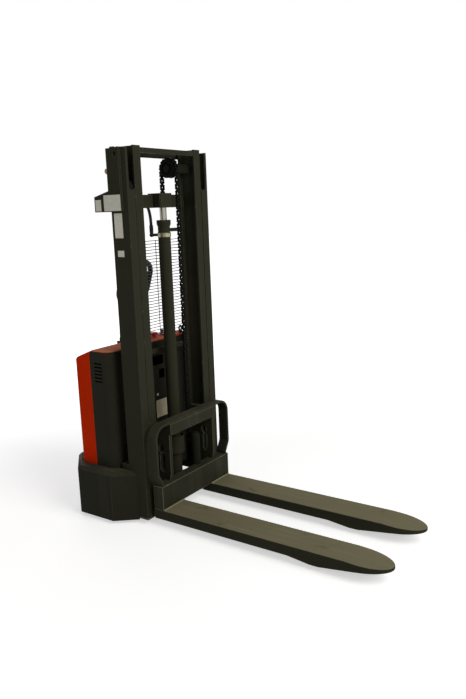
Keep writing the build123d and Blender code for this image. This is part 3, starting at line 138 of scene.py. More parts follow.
class Finish:
    """A node network of a material or a world, with the nodes that the finishes share."""

    def __init__(self, owner):
        owner.use_nodes = True
        self.owner = owner
        self.tree = owner.node_tree
        self.shader = self.tree.nodes.get("Principled BSDF")

    def node(self, kind, settings=None, inputs=None, output=0):
        made = self.tree.nodes.new(kind)
        for name, value in (settings or {}).items():
            setattr(made, name, value)
        for name, value in (inputs or {}).items():
            self.feed(made.inputs[name], value)
        return Wire(self, made.outputs[output])

    def feed(self, socket, value):
        if isinstance(value, Wire):
            self.tree.links.new(value.socket, socket)
        else:
            socket.default_value = value

    def place(self, stretch=(1, 1, 1), shift=(0, 0, 0)):
        """Where a point lies on the machine, in metres, with each direction stretched and then shifted."""
        spot = self.node("ShaderNodeTexCoord", output="Object")
        return self.node("ShaderNodeMapping", {}, {"Vector": spot, "Scale": stretch, "Location": shift})

    def length(self, vector):
        """How long a vector is."""
        return self.node("ShaderNodeVectorMath", {"operation": "LENGTH"}, {0: vector}, output="Value")

    def in_view(self):
        """One where the camera sees a surface, also through glass or in a reflection."""
        rays = ("Is Camera Ray", "Is Glossy Ray", "Is Transmission Ray")
        direct, mirrored, through = [self.node("ShaderNodeLightPath", output=ray) for ray in rays]
        return self.between(direct + mirrored + through, 0.0, 1.0)

    def height(self):
        """How high a point lies over the floor, in metres."""
        return self.node("ShaderNodeSeparateXYZ", {}, {0: self.place()}, output="Z")

    def facing_up(self):
        """One on a level top, zero on a wall, less than zero underneath."""
        direction = self.node("ShaderNodeTexCoord", output="Normal")
        return self.node("ShaderNodeSeparateXYZ", {}, {0: direction}, output="Z")

    def noise(self, scale, detail=3.0, rough=0.55, stretch=(1, 1, 1)):
        spread = {"Vector": self.place(stretch), "Scale": scale, "Detail": detail, "Roughness": rough}
        return self.node("ShaderNodeTexNoise", {}, spread)

    def between(self, value, low, high):
        """Zero below low, one above high, and a smooth step from one to the other."""
        limits = {"Value": value, "From Min": low, "From Max": high}
        return self.node("ShaderNodeMapRange", {"interpolation_type": "SMOOTHSTEP"}, limits)

    def blend(self, share, first, second):
        """Two colours mixed by a share. The Mix node's colours are its sockets 6 and 7, and its output 2."""
        return self.node("ShaderNodeMix", {"data_type": "RGBA"}, {0: share, 6: first, 7: second}, output=2)

    def bump(self, height, depth):
        return self.node("ShaderNodeBump", {}, {"Height": height, "Distance": depth, "Strength": 1.0})

    def surface(self, **sockets):
        """Feed the surface shader: Base_Color, Roughness, Metallic and so on."""
        for name, value in sockets.items():
            self.feed(self.shader.inputs[name.replace("_", " ")], value)
        return self.owner


def rgba(colour, share=1.0):
    return tuple(channel * share for channel in colour) + (1.0,)


def new_finish(name):
    return Finish(bpy.data.materials.new(name))


print("shader helpers ready")

# %% [markdown]
# ## Studio
#
# The machine stands on a plain pale floor. A large soft lamp in front and above lights the fronts of mast
# and carriage, and a dim sky fills the sides, as in the photograph, where the sides are darker. The
# background is white for the camera and in reflections only, so no extra light falls on the machine. The
# floor's own glow stops in a rounded patch under the base cover, where a real floor would be dark.

# %% Floor, lamps and background
FLOOR_SIZE = 60.0
GLOW_REACH = (1.0, 4.5)
NEAR_GLOW = (0.56, 0.56, 0.56)
COVER_MIDDLE_X = -0.66
COVER_SPREAD = (0.235, 0.34)
COVER_FADE = (0.8, 1.0)
SKY_STRENGTH = 0.12
LAMP_SIZE = 3.6
LAMPS = {
    "front_lamp": ((4.6, -0.7, 3.9), 210.0, (1.0, 0.985, 0.95)),
    "side_lamp": ((-1.6, -4.8, 3.2), 29.0, (0.95, 0.975, 1.0)),
    "rear_lamp": ((-4.2, 3.0, 3.4), 60.0, (0.97, 0.985, 1.0)),
}
AIM = Vector((0.0, 0.0, 0.8))


def pale_floor():
    """Diffuse floor that is nearly white where it is seen, and stays dark under the base cover."""
    floor_finish = new_finish("pale_floor")
    away = floor_finish.length(floor_finish.place())
    glow = floor_finish.blend(floor_finish.between(away, *GLOW_REACH), rgba(NEAR_GLOW), rgba((1, 1, 1)))
    long, wide = COVER_SPREAD
    under = floor_finish.place((1 / long, 1 / wide, 0), (-COVER_MIDDLE_X / long, 0, 0))
    squared = floor_finish.node("ShaderNodeVectorMath", {"operation": "MULTIPLY"}, {0: under, 1: under})
    open_floor = floor_finish.between(floor_finish.length(squared), *COVER_FADE)
    grain = floor_finish.noise(2.0, 4.0)
    floor_finish.surface(
        Base_Color=floor_finish.blend(grain, rgba((0.80, 0.80, 0.80)), rgba((0.84, 0.84, 0.84))),
        Roughness=0.9,
        Emission_Color=floor_finish.blend(floor_finish.in_view() * open_floor, rgba((0, 0, 0)), glow),
        Emission_Strength=1.0,
    )
    return floor_finish.owner


bpy.ops.object.select_all(action="DESELECT")
bpy.ops.mesh.primitive_plane_add(size=FLOOR_SIZE)
floor = bpy.context.object
floor.name = "floor"
floor.data.materials.append(pale_floor())

for lamp_name, (spot, power, tint) in LAMPS.items():
    bpy.ops.object.light_add(type="AREA", location=spot)
    lamp = bpy.context.object
    lamp.name = lamp_name
    lamp.data.size = LAMP_SIZE
    lamp.data.energy = power
    lamp.data.color = tint
    lamp.rotation_mode = "QUATERNION"
    lamp.rotation_quaternion = (AIM - Vector(spot)).to_track_quat("-Z", "Y")

scene.world = bpy.data.worlds.new("studio")
sky = Finish(scene.world)
backdrop = sky.tree.nodes["Background"]
sky.feed(backdrop.inputs["Color"], (1.0, 1.0, 1.0, 1.0))
sky.feed(backdrop.inputs["Strength"], sky.in_view() * (1.0 - SKY_STRENGTH) + SKY_STRENGTH)
scene.view_settings.view_transform = "Standard"
print("studio with", len(LAMPS), "lamps")

# %% [markdown]
# ## Painted steel
#
# Mast, carriage and forks are steel plate under a charcoal paint with a slight olive tint. Sprayed paint
# is never one colour: it has a fine orange-peel texture, slow changes of tone, faint streaks where dirt
# has run down, dust on level tops and grime near the floor. Each of these is one noise at its own scale.

# %% Painted finishes
CHARCOAL = (0.029, 0.0295, 0.0185)
COVER_GREY = (0.024, 0.0235, 0.0160)
ORANGE = (0.640, 0.028, 0.0010)
DUST = (0.150, 0.132, 0.085)
# Partly dust and partly a painted sheen: a pale tan that stands for the glare on the hood's top.
PALE_DUST_AND_SHEEN = (0.560, 0.350, 0.185)
GRIME = (0.016, 0.015, 0.011)
RUBBED_GREY = (0.074, 0.076, 0.057)
BARE_STEEL = (0.300, 0.285, 0.250)
PEEL_SCALE = 620.0
PEEL_DEPTH = 0.00012


def paint(name, colour, dusty=0.30, streaks=0.25, gloss=0.46, shine=0.03, dust=DUST):
    """Sprayed paint with mottling, run-down streaks, dust on tops (on the hood partly a painted sheen) and
    grime near the floor.
    """
    coat = new_finish(name)
    tone = coat.noise(3.0, 5.0)
    fine = coat.noise(55.0, 4.0)
    run = coat.noise(9.0, 3.0, stretch=(1.0, 1.0, 0.07))
    base = coat.blend(tone * 0.65 + fine * 0.35, rgba(colour, 0.72), rgba(colour, 1.32))
    base = coat.blend(coat.between(run, 0.52, 0.80) * streaks, base, rgba(DUST, 0.7))
    low = 1.0 - coat.between(coat.height(), 0.0, 0.30)
    base = coat.blend(low * coat.between(fine, 0.40, 0.75) * 0.4, base, rgba(GRIME))
    tops = coat.between(coat.facing_up(), 0.55, 0.98) * coat.between(tone + fine * 0.4, 0.45, 0.95) * dusty
    base = coat.blend(tops, base, rgba(dust))
    return coat.surface(
        Base_Color=base,
        Roughness=gloss + fine * 0.12 + tops * 0.35,
        Normal=coat.bump(coat.noise(PEEL_SCALE, 1.0) + fine * 0.5, PEEL_DEPTH),
        Specular_IOR_Level=shine,
    )


def worn_and_highlit_edge(name, colour, bare=0.5):
    """The rounded edge of a painted plate: paler paint, partly wear and partly a painted highlight, rubbed
    through to steel in places.
    """
    rim = new_finish(name)
    rub = rim.noise(26.0, 5.0, 0.65)
    nick = rim.noise(120.0, 3.0)
    through = rim.between(rub * 0.7 + nick * 0.3, 0.56, 0.66) * bare
    # Painted highlight: the edge colour is raised up to 1.75 times the paint, besides the real rub-through.
    paler_and_highlit = rim.blend(nick, rgba(colour, 1.05), rgba(colour, 1.75))
    return rim.surface(
        Base_Color=rim.blend(through, paler_and_highlit, rgba(BARE_STEEL, 0.75)),
        Roughness=0.42 + nick * 0.16,
        Metallic=through * 0.8,
        Normal=rim.bump(nick, PEEL_DEPTH),
        Specular_IOR_Level=0.05,
    )


MAST_PAINT = paint("mast_paint", CHARCOAL)
MAST_EDGE = worn_and_highlit_edge("mast_edge", CHARCOAL)
CARRIAGE_EDGE = worn_and_highlit_edge("carriage_edge", RUBBED_GREY, bare=0.7)
COVER_PAINT = paint("cover_paint", COVER_GREY, dusty=0.42, streaks=0.18, gloss=0.52)
COVER_EDGE = worn_and_highlit_edge("cover_edge", COVER_GREY, bare=0.12)
# The hood's top is paled with dust and a painted sheen, and its specular level is kept low.
HOOD_PAINT = paint("hood_orange_paint", ORANGE, 0.62, 0.04, gloss=0.44, shine=0.01, dust=PALE_DUST_AND_SHEEN)
HOOD_EDGE = worn_and_highlit_edge("hood_orange_edge", ORANGE, bare=0.10)
print("painted finishes", [finish.name for finish in (MAST_PAINT, COVER_PAINT, HOOD_PAINT)])

# %% [markdown]
# ## Fork paint
#
# Forks slide under pallets all day, so their tops are scuffed along their length and hold a warm grey
# dust. The same paint is used, with long scratches that run the way the pallets do. Stretching a noise
# along one axis turns its spots into such lines.

# %% Scuffed fork finish
SCUFF = (0.205, 0.186, 0.112)
PALE_SCUFF = (0.290, 0.265, 0.175)


def fork_paint(name):
    """Charcoal paint that is scuffed and dusty on its top."""
    coat = new_finish(name)
    tone = coat.noise(4.0, 5.0)
    fine = coat.noise(70.0, 4.0)
    lines = coat.noise(46.0, 4.0, stretch=(0.05, 1.0, 1.0))
    blotch = coat.noise(11.0, 4.0, 0.6)
    speck = coat.noise(95.0, 2.0)
    side = coat.blend(tone * 0.6 + fine * 0.4, rgba(CHARCOAL, 0.66), rgba(CHARCOAL, 1.25))
    worn = coat.blend(tone * 0.5 + lines * 0.5, rgba(SCUFF, 0.74), rgba(SCUFF, 1.18))
    worn = coat.blend(coat.between(lines, 0.60, 0.74) * 0.45, worn, rgba(PALE_SCUFF))
    worn = coat.blend(coat.between(blotch, 0.60, 0.74) * 0.40, worn, rgba(CHARCOAL, 1.6))
    worn = coat.blend(coat.between(speck, 0.74, 0.78) * 0.7, worn, rgba(PALE_SCUFF, 1.5))
    top = coat.between(coat.facing_up(), 0.45, 0.85)
    return coat.surface(
        Base_Color=coat.blend(top, side, worn),
        Roughness=0.48 + fine * 0.1 + top * 0.22,
        Normal=coat.bump(lines * 0.6 + fine * 0.4, 0.00022),
        Specular_IOR_Level=0.03,
    )


FORK_PAINT = fork_paint("fork_paint")
FORK_EDGE = worn_and_highlit_edge("fork_edge", SCUFF, bare=0.55)
print("fork finish ready")

# %% [markdown]
# ## Bare metal, and oiled metal with painted shade
#
# The piston rod is ground and bright, its colour darkened as a painted reflection of the dark mast, and
# fittings are plain or plated metal. Chain and rollers are dark partly with old oil and partly with painted
# shade, which hides most of the metal. Turning marks run round a rod, so the noise is squeezed along its
# height.

# %% Metal finishes


def metal(name, colour, rough, grease=0.0, stretch=(1, 1, 1), scale=240.0):
    """Machined metal with fine tool marks, and grease in patches."""
    steel = new_finish(name)
    marks = steel.noise(scale, 2.0, stretch=stretch)
    patch = steel.noise(24.0, 4.0)
    oily = steel.between(patch, 0.42, 0.66) * grease
    base = steel.blend(marks * 0.6 + patch * 0.4, rgba(colour, 0.78), rgba(colour, 1.2))
    return steel.surface(
        Base_Color=steel.blend(oily, base, rgba(GRIME)),
        Metallic=1.0 - oily * 0.7,
        Roughness=rough + marks * 0.14 - oily * 0.06,
        Normal=steel.bump(marks, 0.00006),
    )


def oiled_and_shaded(name, colour, rough=0.50):
    """Nearly black steel, darkened partly by years of oil and dust and partly as painted shade."""
    film = new_finish(name)
    patch = film.noise(30.0, 4.0)
    grain = film.noise(260.0, 2.0)
    return film.surface(
        Base_Color=film.blend(patch * 0.6 + grain * 0.4, rgba(colour, 0.6), rgba(colour, 1.5)),
        Metallic=patch * 0.04,
        Roughness=rough + grain * 0.16 - patch * 0.10,
        Normal=film.bump(grain, 0.00008),
        Specular_IOR_Level=0.03,
    )


# Painted reflection: the rod's steel colour is darkened to stand for the dark mast that it reflects.
GROUND_STEEL = metal("ground_steel", (0.32, 0.305, 0.265), 0.16, stretch=(1, 1, 12))
# Painted shade: the rollers are darkened beyond their oil so that they look as dark as the shaded slots they
# run in.
ROLLER_STEEL = oiled_and_shaded("roller_steel", (0.0125, 0.0120, 0.0095))
# The chain is darkened partly by oil and partly as painted shade, for the shade of the mast's inner web.
CHAIN_STEEL = oiled_and_shaded("chain_steel", (0.0055, 0.0056, 0.0040))
# Painted shade: the chain wheel's bracket and the front chain anchor are painted near-black for the shade
# they stand in.
SHADE_BLACK_PAINT = oiled_and_shaded("painted_shade_paint", (0.0130, 0.0132, 0.0085), 0.56)
ZINC = metal("zinc_plate", (0.50, 0.48, 0.42), 0.34, grease=0.15)
BRASS = metal("brass_ring", (0.36, 0.335, 0.215), 0.30, grease=0.45)
COPPER = metal("copper_fitting", (0.24, 0.12, 0.07), 0.36, grease=0.4)
CAST_ALLOY = metal("cast_alloy", (0.42, 0.42, 0.41), 0.44, scale=420.0)
CAST_IRON = paint("cast_iron_paint", (0.030, 0.030, 0.030), dusty=0.35, gloss=0.55)
print("metal finishes ready")

# %% [markdown]
# ## Rubber and plastic
#
# Moulded plastic has a fine spark-eroded grain, and rubber is matt. One finish serves both: a very fine
# noise gives the grain, and a slow one changes tone and gloss, as handling does.

# %% Moulded finishes


def plastic(name, colour, rough=0.45, grain=0.00010):
    """Moulded plastic with a fine grain and a little handling shine."""
    moulded = new_finish(name)
    pebble = moulded.noise(900.0, 2.0)
    wear = moulded.noise(18.0, 4.0)
    return moulded.surface(
        Base_Color=moulded.blend(wear * 0.7 + pebble * 0.3, rgba(colour, 0.78), rgba(colour, 1.28)),
        Roughness=rough + wear * 0.16 - 0.06,
        Normal=moulded.bump(pebble, grain),
        Specular_IOR_Level=0.2,
    )


BLACK_PLASTIC = plastic("black_plastic", (0.017, 0.017, 0.016))
SIGNAL_RED = plastic("signal_red_plastic", (0.42, 0.010, 0.006), rough=0.28, grain=0.00003)
HOSE_RUBBER = plastic("hose_rubber", (0.013, 0.013, 0.013), rough=0.52, grain=0.00012)
BATTERY_CASE = plastic("battery_case", (0.045, 0.047, 0.055), rough=0.5)
GUARD_BLACK = plastic("guard_wire_coat", (0.022, 0.022, 0.020), rough=0.38)
print("moulded finishes ready")

# %% [markdown]
# ## Rounded, rubbed edges on the steelwork
#
# The measured pieces have razor edges, and no real plate has those. Light catches the small radius that
# grinding and paint leave, and that is also where paint rubs through. Each plate is copied, its triangles
# are merged into whole faces, and its edges are bevelled, with the bevel in a finish of its own: paler paint
# that is partly a painted highlight, rubbed through in places.

# %% Bevelled copies of the plates
MERGE_GAP = 1e-5
FLAT_ANGLE = radians(0.6)
EDGE_ANGLE = radians(38)
SMOOTH_ANGLE = radians(50)


def pick(piece):
    """Select one piece alone and make it the active one."""
    bpy.ops.object.select_all(action="DESELECT")
    piece.select_set(True)
    bpy.context.view_layer.objects.active = piece


def apply(piece, kind, **settings):
    """Add a modifier, set it up and apply it."""
    modifier = piece.modifiers.new(kind.lower(), kind)
    for name, value in settings.items():
        setattr(modifier, name, value)
    pick(piece)
    bpy.ops.object.modifier_apply(modifier=modifier.name)


def even_shading(piece):
    """Smooth the rounded edges and keep the large faces flat."""
    pick(piece)
    bpy.ops.object.shade_smooth_by_angle(angle=SMOOTH_ANGLE)
    apply(piece, "WEIGHTED_NORMAL", keep_sharp=True)


def seated(piece, body):
    """Say which body a new piece moves with."""
    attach(piece, body)
    return piece


def bevelled(node, finish, edge, width):
    """A copy of a measured piece with rounded edges, which stands for it."""
    piece = bpy.data.objects.new(f"{node}_finished", NODES[node].data.copy())
    scene.collection.objects.link(piece)
    piece.data.materials.clear()
    piece.data.materials.append(finish)
    piece.data.materials.append(edge)
    pick(piece)
    bpy.ops.mesh.customdata_custom_splitnormals_clear()
    bpy.ops.object.mode_set(mode="EDIT")
    bpy.ops.mesh.select_all(action="SELECT")
    bpy.ops.mesh.remove_doubles(threshold=MERGE_GAP)
    bpy.ops.mesh.dissolve_limited(angle_limit=FLAT_ANGLE)
    bpy.ops.object.mode_set(mode="OBJECT")
    apply(
        piece, "BEVEL", width=width / 1000, segments=2, limit_method="ANGLE", angle_limit=EDGE_ANGLE,
        use_clamp_overlap=False, material=1, miter_outer="MITER_ARC",
    )
    even_shading(piece)
    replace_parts(piece, node)
    return seated(piece, BODY_OF[node])


MAST_WIDTHS = {
    "outer_channel_left": 1.6, "outer_channel_right": 1.6, "inner_channel_left": 1.6,
    "inner_channel_right": 1.6, "outer_ties": 1.2, "side_plates": 1.8, "inner_ties": 1.2, "lift_beam": 1.6,
    "cylinder_clamp": 1.8, "chain_anchor_rear": 1.2, "chassis_frame": 1.2, "cylinder_gland": 0.8,
    "backrest_bar": 2.0,
}
CARRIAGE_WIDTHS = {"carriage_beam": 2.6, "carriage_uprights": 1.6}
FORK_WIDTHS = {"fork_left": 2.0, "fork_right": 2.0, "support_leg_left": 2.0, "support_leg_right": 2.0}
STEELWORK = (
    (MAST_PAINT, MAST_EDGE, MAST_WIDTHS),
    (MAST_PAINT, CARRIAGE_EDGE, CARRIAGE_WIDTHS),
    (FORK_PAINT, FORK_EDGE, FORK_WIDTHS),
    # The chain wheel's bracket and the front chain anchor get the near-black painted shade.
    (SHADE_BLACK_PAINT, SHADE_BLACK_PAINT, {"chain_wheel_bracket": 1.2, "chain_anchor_front": 1.2}),
    (COVER_PAINT, COVER_EDGE, {"base_cover": 2.0, "hood_front": 1.2}),
    (HOOD_PAINT, HOOD_EDGE, {"hood_rear": 1.2}),
)
plates = {}
for finish, edge, widths in STEELWORK:
    for node, width in widths.items():
        plates[node] = bevelled(node, finish, edge, width)
print("bevelled", len(plates), "plates")

# %% [markdown]
# Colour is sprayed on the outside of the hood only. Inside it is painted near-black as painted shade, which
# shows through the vents and service openings. A face that looks towards the middle of the hood is on the
# inside.

# %% Painted shade inside the hood
HOOD_MIDDLE = Vector((-0.67, 0.0, 0.55))
# Painted shade: the hood's inner faces are made near-black so that vents and openings look dark.
INSIDE_SHADE_PAINT = paint("painted_inside_shade", (0.012, 0.012, 0.011), dusty=0.1, streaks=0.0, gloss=0.6)
rear_hood = plates["hood_rear"].data
shade_place = len(rear_hood.materials)
rear_hood.materials.append(INSIDE_SHADE_PAINT)
inside = [face for face in rear_hood.polygons if face.normal.dot(face.center - HOOD_MIDDLE) < 0]
for face in inside:
    face.material_index = shade_place
print("primer on", len(inside), "inner faces")

# %% [markdown]
# ## Castings, mouldings and controls
#
# The same rounding suits the drive unit, the batteries and the controls. Castings and moulded plastic are
# coloured all through or painted thick, so here the rounded edge keeps the finish of the piece.

# %% Rounded castings and controls
ROUNDED = {
    "drive_gearbox": (CAST_IRON, 1.6), "drive_motor": (CAST_IRON, 1.2), "power_pack": (CAST_IRON, 1.4),
    "controller": (CAST_ALLOY, 0.7), "batteries": (BATTERY_CASE, 1.2), "battery_hold_down": (MAST_PAINT, 1.0),
    "steering_column": (BLACK_PLASTIC, 1.2), "tiller_arm": (BLACK_PLASTIC, 1.4),
    "tiller_head": (BLACK_PLASTIC, 1.4), "thumb_throttle": (BLACK_PLASTIC, 0.8),
    "lift_rocker": (BLACK_PLASTIC, 0.6), "horn_button": (BLACK_PLASTIC, 0.8),
    "belly_button": (SIGNAL_RED, 1.4), "emergency_stop": (SIGNAL_RED, 1.0),
    "key_switch": (BLACK_PLASTIC, 0.5),
    "caster_fork_left": (ZINC, 0.8), "caster_fork_right": (ZINC, 0.8), "chain_wheel": (CHAIN_STEEL, 0.8),
    "mast_top_rollers": (ROLLER_STEEL, 0.5), "mast_foot_rollers": (ROLLER_STEEL, 0.5),
    "carriage_upper_rollers": (ROLLER_STEEL, 0.5), "carriage_lower_rollers": (ROLLER_STEEL, 0.5),
    "load_axles": (ZINC, 0.6),
}
for node, (finish, width) in ROUNDED.items():
    bevelled(node, finish, finish, width)
print("rounded", len(ROUNDED), "castings and controls")

# %% [markdown]
# ## Play on the roller axles
#
# A round bore is many-sided in a mesh. One that fits its axle closely would cut into it whenever the roller
# turns, so each bore is opened by about 0.6 mm all round. A real roller has some play there too.

# %% Opened roller bores
ROLLERS = ("mast_top_rollers", "mast_foot_rollers", "carriage_upper_rollers", "carriage_lower_rollers")
BORE_EDGE = 0.0165
BORE_WIDER = 1.04


def choose(piece, test):
    """Enter edit mode with only the corners that pass a test selected."""
    pick(piece)
    bpy.ops.object.mode_set(mode="EDIT")
    bpy.ops.mesh.select_mode(type="VERT")
    bpy.ops.mesh.select_all(action="DESELECT")
    bpy.ops.object.mode_set(mode="OBJECT")
    for corner in piece.data.vertices:
        corner.select = test(corner.co)
    bpy.ops.object.mode_set(mode="EDIT")


def open_bore(node):
    """Widen a roller's bore about its axle."""
    piece = bpy.data.objects[f"{node}_finished"]
    low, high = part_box(node)
    axle = (low + high) / 2
    choose(piece, lambda corner: hypot(corner.x - axle.x, corner.z - axle.z) < BORE_EDGE)
    bpy.ops.transform.resize(value=(BORE_WIDER, 1.0, BORE_WIDER), center_override=axle)
    bpy.ops.object.mode_set(mode="OBJECT")


for node in ROLLERS:
    open_bore(node)
print("opened the bores of", len(ROLLERS), "pairs of rollers")

# %% [markdown]
# ## Pieces that stay as measured
#
# The rod, the barrel and the wheels are round and need no bevel. They keep the measured mesh and only get
# a finish. A wheel is a tyre on a metal hub, in one piece here, so its finish changes with the distance from
# its axle, and each wheel has its own.

# %% Finishes for rod, barrel and wheels
POLYURETHANE = (0.085, 0.066, 0.040)
WHEEL_HUB = (0.30, 0.29, 0.27)
RIM_BLUR = 0.0006
RIMS = {
    "load_wheel_left": 0.026, "load_wheel_right": 0.026, "drive_wheel": 0.084, "caster_wheel_left": 0.046,
    "caster_wheel_right": 0.046,
}


def tyre(name, node, rim, tread_colour, hub_colour):
    """A tyre outside the rim's radius and a metal hub inside it, about the wheel's own axle."""
    low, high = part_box(node)
    middle = (low + high) / 2
    wheel = new_finish(name)
    distance = wheel.length(wheel.place((1, 0, 1), (-middle.x, 0, -middle.z)))
    outer = wheel.between(distance, rim - RIM_BLUR, rim + RIM_BLUR)
    mottle = wheel.noise(60.0, 5.0)
    scrape = wheel.noise(160.0, 3.0)
    tread = wheel.blend(mottle, rgba(tread_colour, 0.7), rgba(tread_colour, 1.35))
    hub = wheel.blend(scrape, rgba(hub_colour, 0.75), rgba(hub_colour, 1.2))
    return wheel.surface(
        Base_Color=wheel.blend(outer, hub, tread),
        Metallic=(1.0 - outer) * 0.9,
        Roughness=0.36 + outer * 0.22 + mottle * 0.12,
        Normal=wheel.bump(mottle * 0.6 + scrape * 0.4, 0.00025),
    )


KEPT = {node: tyre(f"{node}_tyre", node, rim, POLYURETHANE, WHEEL_HUB) for node, rim in RIMS.items()}
KEPT["ram"] = GROUND_STEEL
KEPT["cylinder_barrel"] = MAST_PAINT
for node, finish in KEPT.items():
    for spot in NODES[node].material_slots:
        spot.material = finish
print("kept as measured", sorted(KEPT))

# %% [markdown]
# ## Small helpers for new pieces
#
# Drawings give millimetres from the carriage's front face, and the model is in metres from a point
# farther forward. One function turns one into the other. Others add a round bar, repeat it in a row, join
# several pieces and round their edges, so that later steps only state sizes.

# %% Bars and rows
FRONT_FACE_X = -270.0
TURNS = {"x": (0.0, pi / 2, 0.0), "y": (pi / 2, 0.0, 0.0), "z": (0.0, 0.0, 0.0)}


def at(x, y, z):
    """A point of the drawing, in metres from the model's origin."""
    return Vector((x + FRONT_FACE_X, y, z)) / 1000


def settled(name, finish):
    """Put the newest piece's place into its mesh, and give it a name and a finish."""
    piece = bpy.context.object
    bpy.ops.object.transform_apply(location=True, rotation=True, scale=True)
    piece.name = name
    piece.data.materials.append(finish)
    return piece


def bar(name, middle, axis, radius, length, finish, sides=24):
    """A round bar about a point, along an axis."""
    bpy.ops.object.select_all(action="DESELECT")
    bpy.ops.mesh.primitive_cylinder_add(
        vertices=sides, radius=radius / 1000, depth=length / 1000, location=at(*middle), rotation=TURNS[axis],
    )
    return settled(name, finish)


def row(piece, count, step):
    """Repeat a piece along a step in millimetres."""
    offset = Vector(step) / 1000
    apply(
        piece, "ARRAY", count=count, use_relative_offset=False, use_constant_offset=True,
        constant_offset_displace=offset,
    )
    return piece


def joined(name, pieces):
    """Make one piece of several."""
    pick(pieces[0])
    for piece in pieces:
        piece.select_set(True)
    bpy.ops.object.join()
    pieces[0].name = name
    return pieces[0]


def soften(piece, width, segments=2):
    """Round a new piece's sharp edges."""
    apply(piece, "BEVEL", width=width / 1000, segments=segments, limit_method="ANGLE", angle_limit=EDGE_ANGLE)
    even_shading(piece)
    return piece


print("helpers for bars and rows ready")

# %% [markdown]
# ## Leaf chain
#
# The chain that lifts the carriage is made of flat link plates on pins, with no rollers. Links alternate:
# one has its plates on the outside, the next has them between. A plate starts as a short cylinder. Its
# upper and lower halves are moved apart by the pitch, and a cut at half height is drawn in for the waist.

# %% One link plate
CHAIN_PITCH = 16.0
PLATE_RADIUS = 6.0
WAIST = 0.70
OUTER_PLATES = (61.5, 64.5, 81.5, 84.5)
INNER_PLATES = (67.8, 71.2, 74.8, 78.2)
PLATE_THICK = 2.8


def link_plate(y):
    """One waisted plate about the model's vertical axis, between two pins."""
    plate = bar("link_plate", (-FRONT_FACE_X, y, 0.0), "y", PLATE_RADIUS, PLATE_THICK, CHAIN_STEEL, 22)
    half = CHAIN_PITCH / 2000
    for way in (-1, 1):
        choose(plate, lambda corner: corner.z * way > 0)
        bpy.ops.transform.translate(value=(0.0, 0.0, way * half))
        bpy.ops.object.mode_set(mode="OBJECT")
    choose(plate, lambda corner: True)
    bpy.ops.mesh.bisect(plane_co=(0.0, 0.0, 0.0), plane_no=(0.0, 0.0, 1.0))
    bpy.ops.object.mode_set(mode="OBJECT")
    choose(plate, lambda corner: abs(corner.z) < MERGE_GAP)
    bpy.ops.transform.resize(value=(WAIST, 1.0, 1.0), center_override=(0.0, 0.0, 0.0))
    bpy.ops.object.mode_set(mode="OBJECT")
    return plate


OUTER_LINK = joined("outer_link", [link_plate(y) for y in OUTER_PLATES])
INNER_LINK = joined("inner_link", [link_plate(y) for y in INNER_PLATES])
print("link plates with", len(OUTER_LINK.data.vertices), "corners a link")

# %% [markdown]
# ## Hanging strands
#
# The front strand runs down to the carriage and the rear strand to the fixed mast, and both turn over the
# wheel between. In motion a strand grows on one side and shrinks on the other. Real links would travel
# round the wheel; here each strand is a fixed row of links hanging below the wheel's axle.

# %% Front strand, rear strand and the turn over the wheel
WHEEL_X = -147.0
WHEEL_Z = 1732.0
CHAIN_RADIUS = 48.0
CHAIN_MIDDLE = 73.0
CHAIN_WIDTH = 27.0
PIN_RADIUS = 3.0
STRANDS = {
    "front": (WHEEL_X + CHAIN_RADIUS, 87, "carriage", 340.0),
    "rear": (WHEEL_X - CHAIN_RADIUS, 16, "chassis", 1476.0),
}
WRAP_LINKS = 9


def copied(piece, name, place):
    """A copy of a piece, moved to its place."""
    copy = bpy.data.objects.new(name, piece.data.copy())
    scene.collection.objects.link(copy)
    copy.data.transform(place)
    return copy


def strand(name, x, links):
    """Alternating links below the wheel's axle, inner link first, with a pin at every joint."""
    made = []
    for link, first, count in ((INNER_LINK, 0, (links + 1) // 2), (OUTER_LINK, 1, links // 2)):
        middle = at(x, 0.0, WHEEL_Z - CHAIN_PITCH * (first + 0.5))
        run = copied(link, "links", Matrix.Translation(middle))
        made.append(row(run, count, (0.0, 0.0, -2 * CHAIN_PITCH)))
    pin = bar("pins", (x, CHAIN_MIDDLE, WHEEL_Z), "y", PIN_RADIUS, CHAIN_WIDTH, CHAIN_STEEL, 12)
    made.append(row(pin, links + 1, (0.0, 0.0, -CHAIN_PITCH)))
    return joined(name, made)


def over_wheel():
    """Links and pins of the half turn over the wheel."""
    made = []
    step = pi / WRAP_LINKS
    flat = CHAIN_RADIUS * cos(step / 2)
    for number in range(WRAP_LINKS):
        turn = (number + 0.5) * step
        link = OUTER_LINK if number % 2 == 0 else INNER_LINK
        middle = at(WHEEL_X + flat * cos(turn), 0.0, WHEEL_Z + flat * sin(turn))
        made.append(copied(link, "wrap", Matrix.Translation(middle) @ Matrix.Rotation(-turn, 4, "Y")))
    for number in range(1, WRAP_LINKS):
        turn = number * step
        x, z = WHEEL_X + CHAIN_RADIUS * cos(turn), WHEEL_Z + CHAIN_RADIUS * sin(turn)
        made.append(bar("wrap_pin", (x, CHAIN_MIDDLE, z), "y", PIN_RADIUS, CHAIN_WIDTH, CHAIN_STEEL, 12))
    return joined("chain_turn", made)


for name, (x, links, body, low) in STRANDS.items():
    piece = strand(f"chain_strand_{name}", x, links)
    even_shading(piece)
    lower, upper = at(x, CHAIN_MIDDLE, low), at(x, CHAIN_MIDDLE, WHEEL_Z)
    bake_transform(piece)
    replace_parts(piece, f"chain_{name}")
turn_piece = over_wheel()
even_shading(turn_piece)
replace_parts(seated(turn_piece, "inner_mast"), "chain_over_wheel")
for pattern in (OUTER_LINK, INNER_LINK):
    bpy.data.objects.remove(pattern)
print("chain of", sum(entry[1] for entry in STRANDS.values()) + WRAP_LINKS, "links")

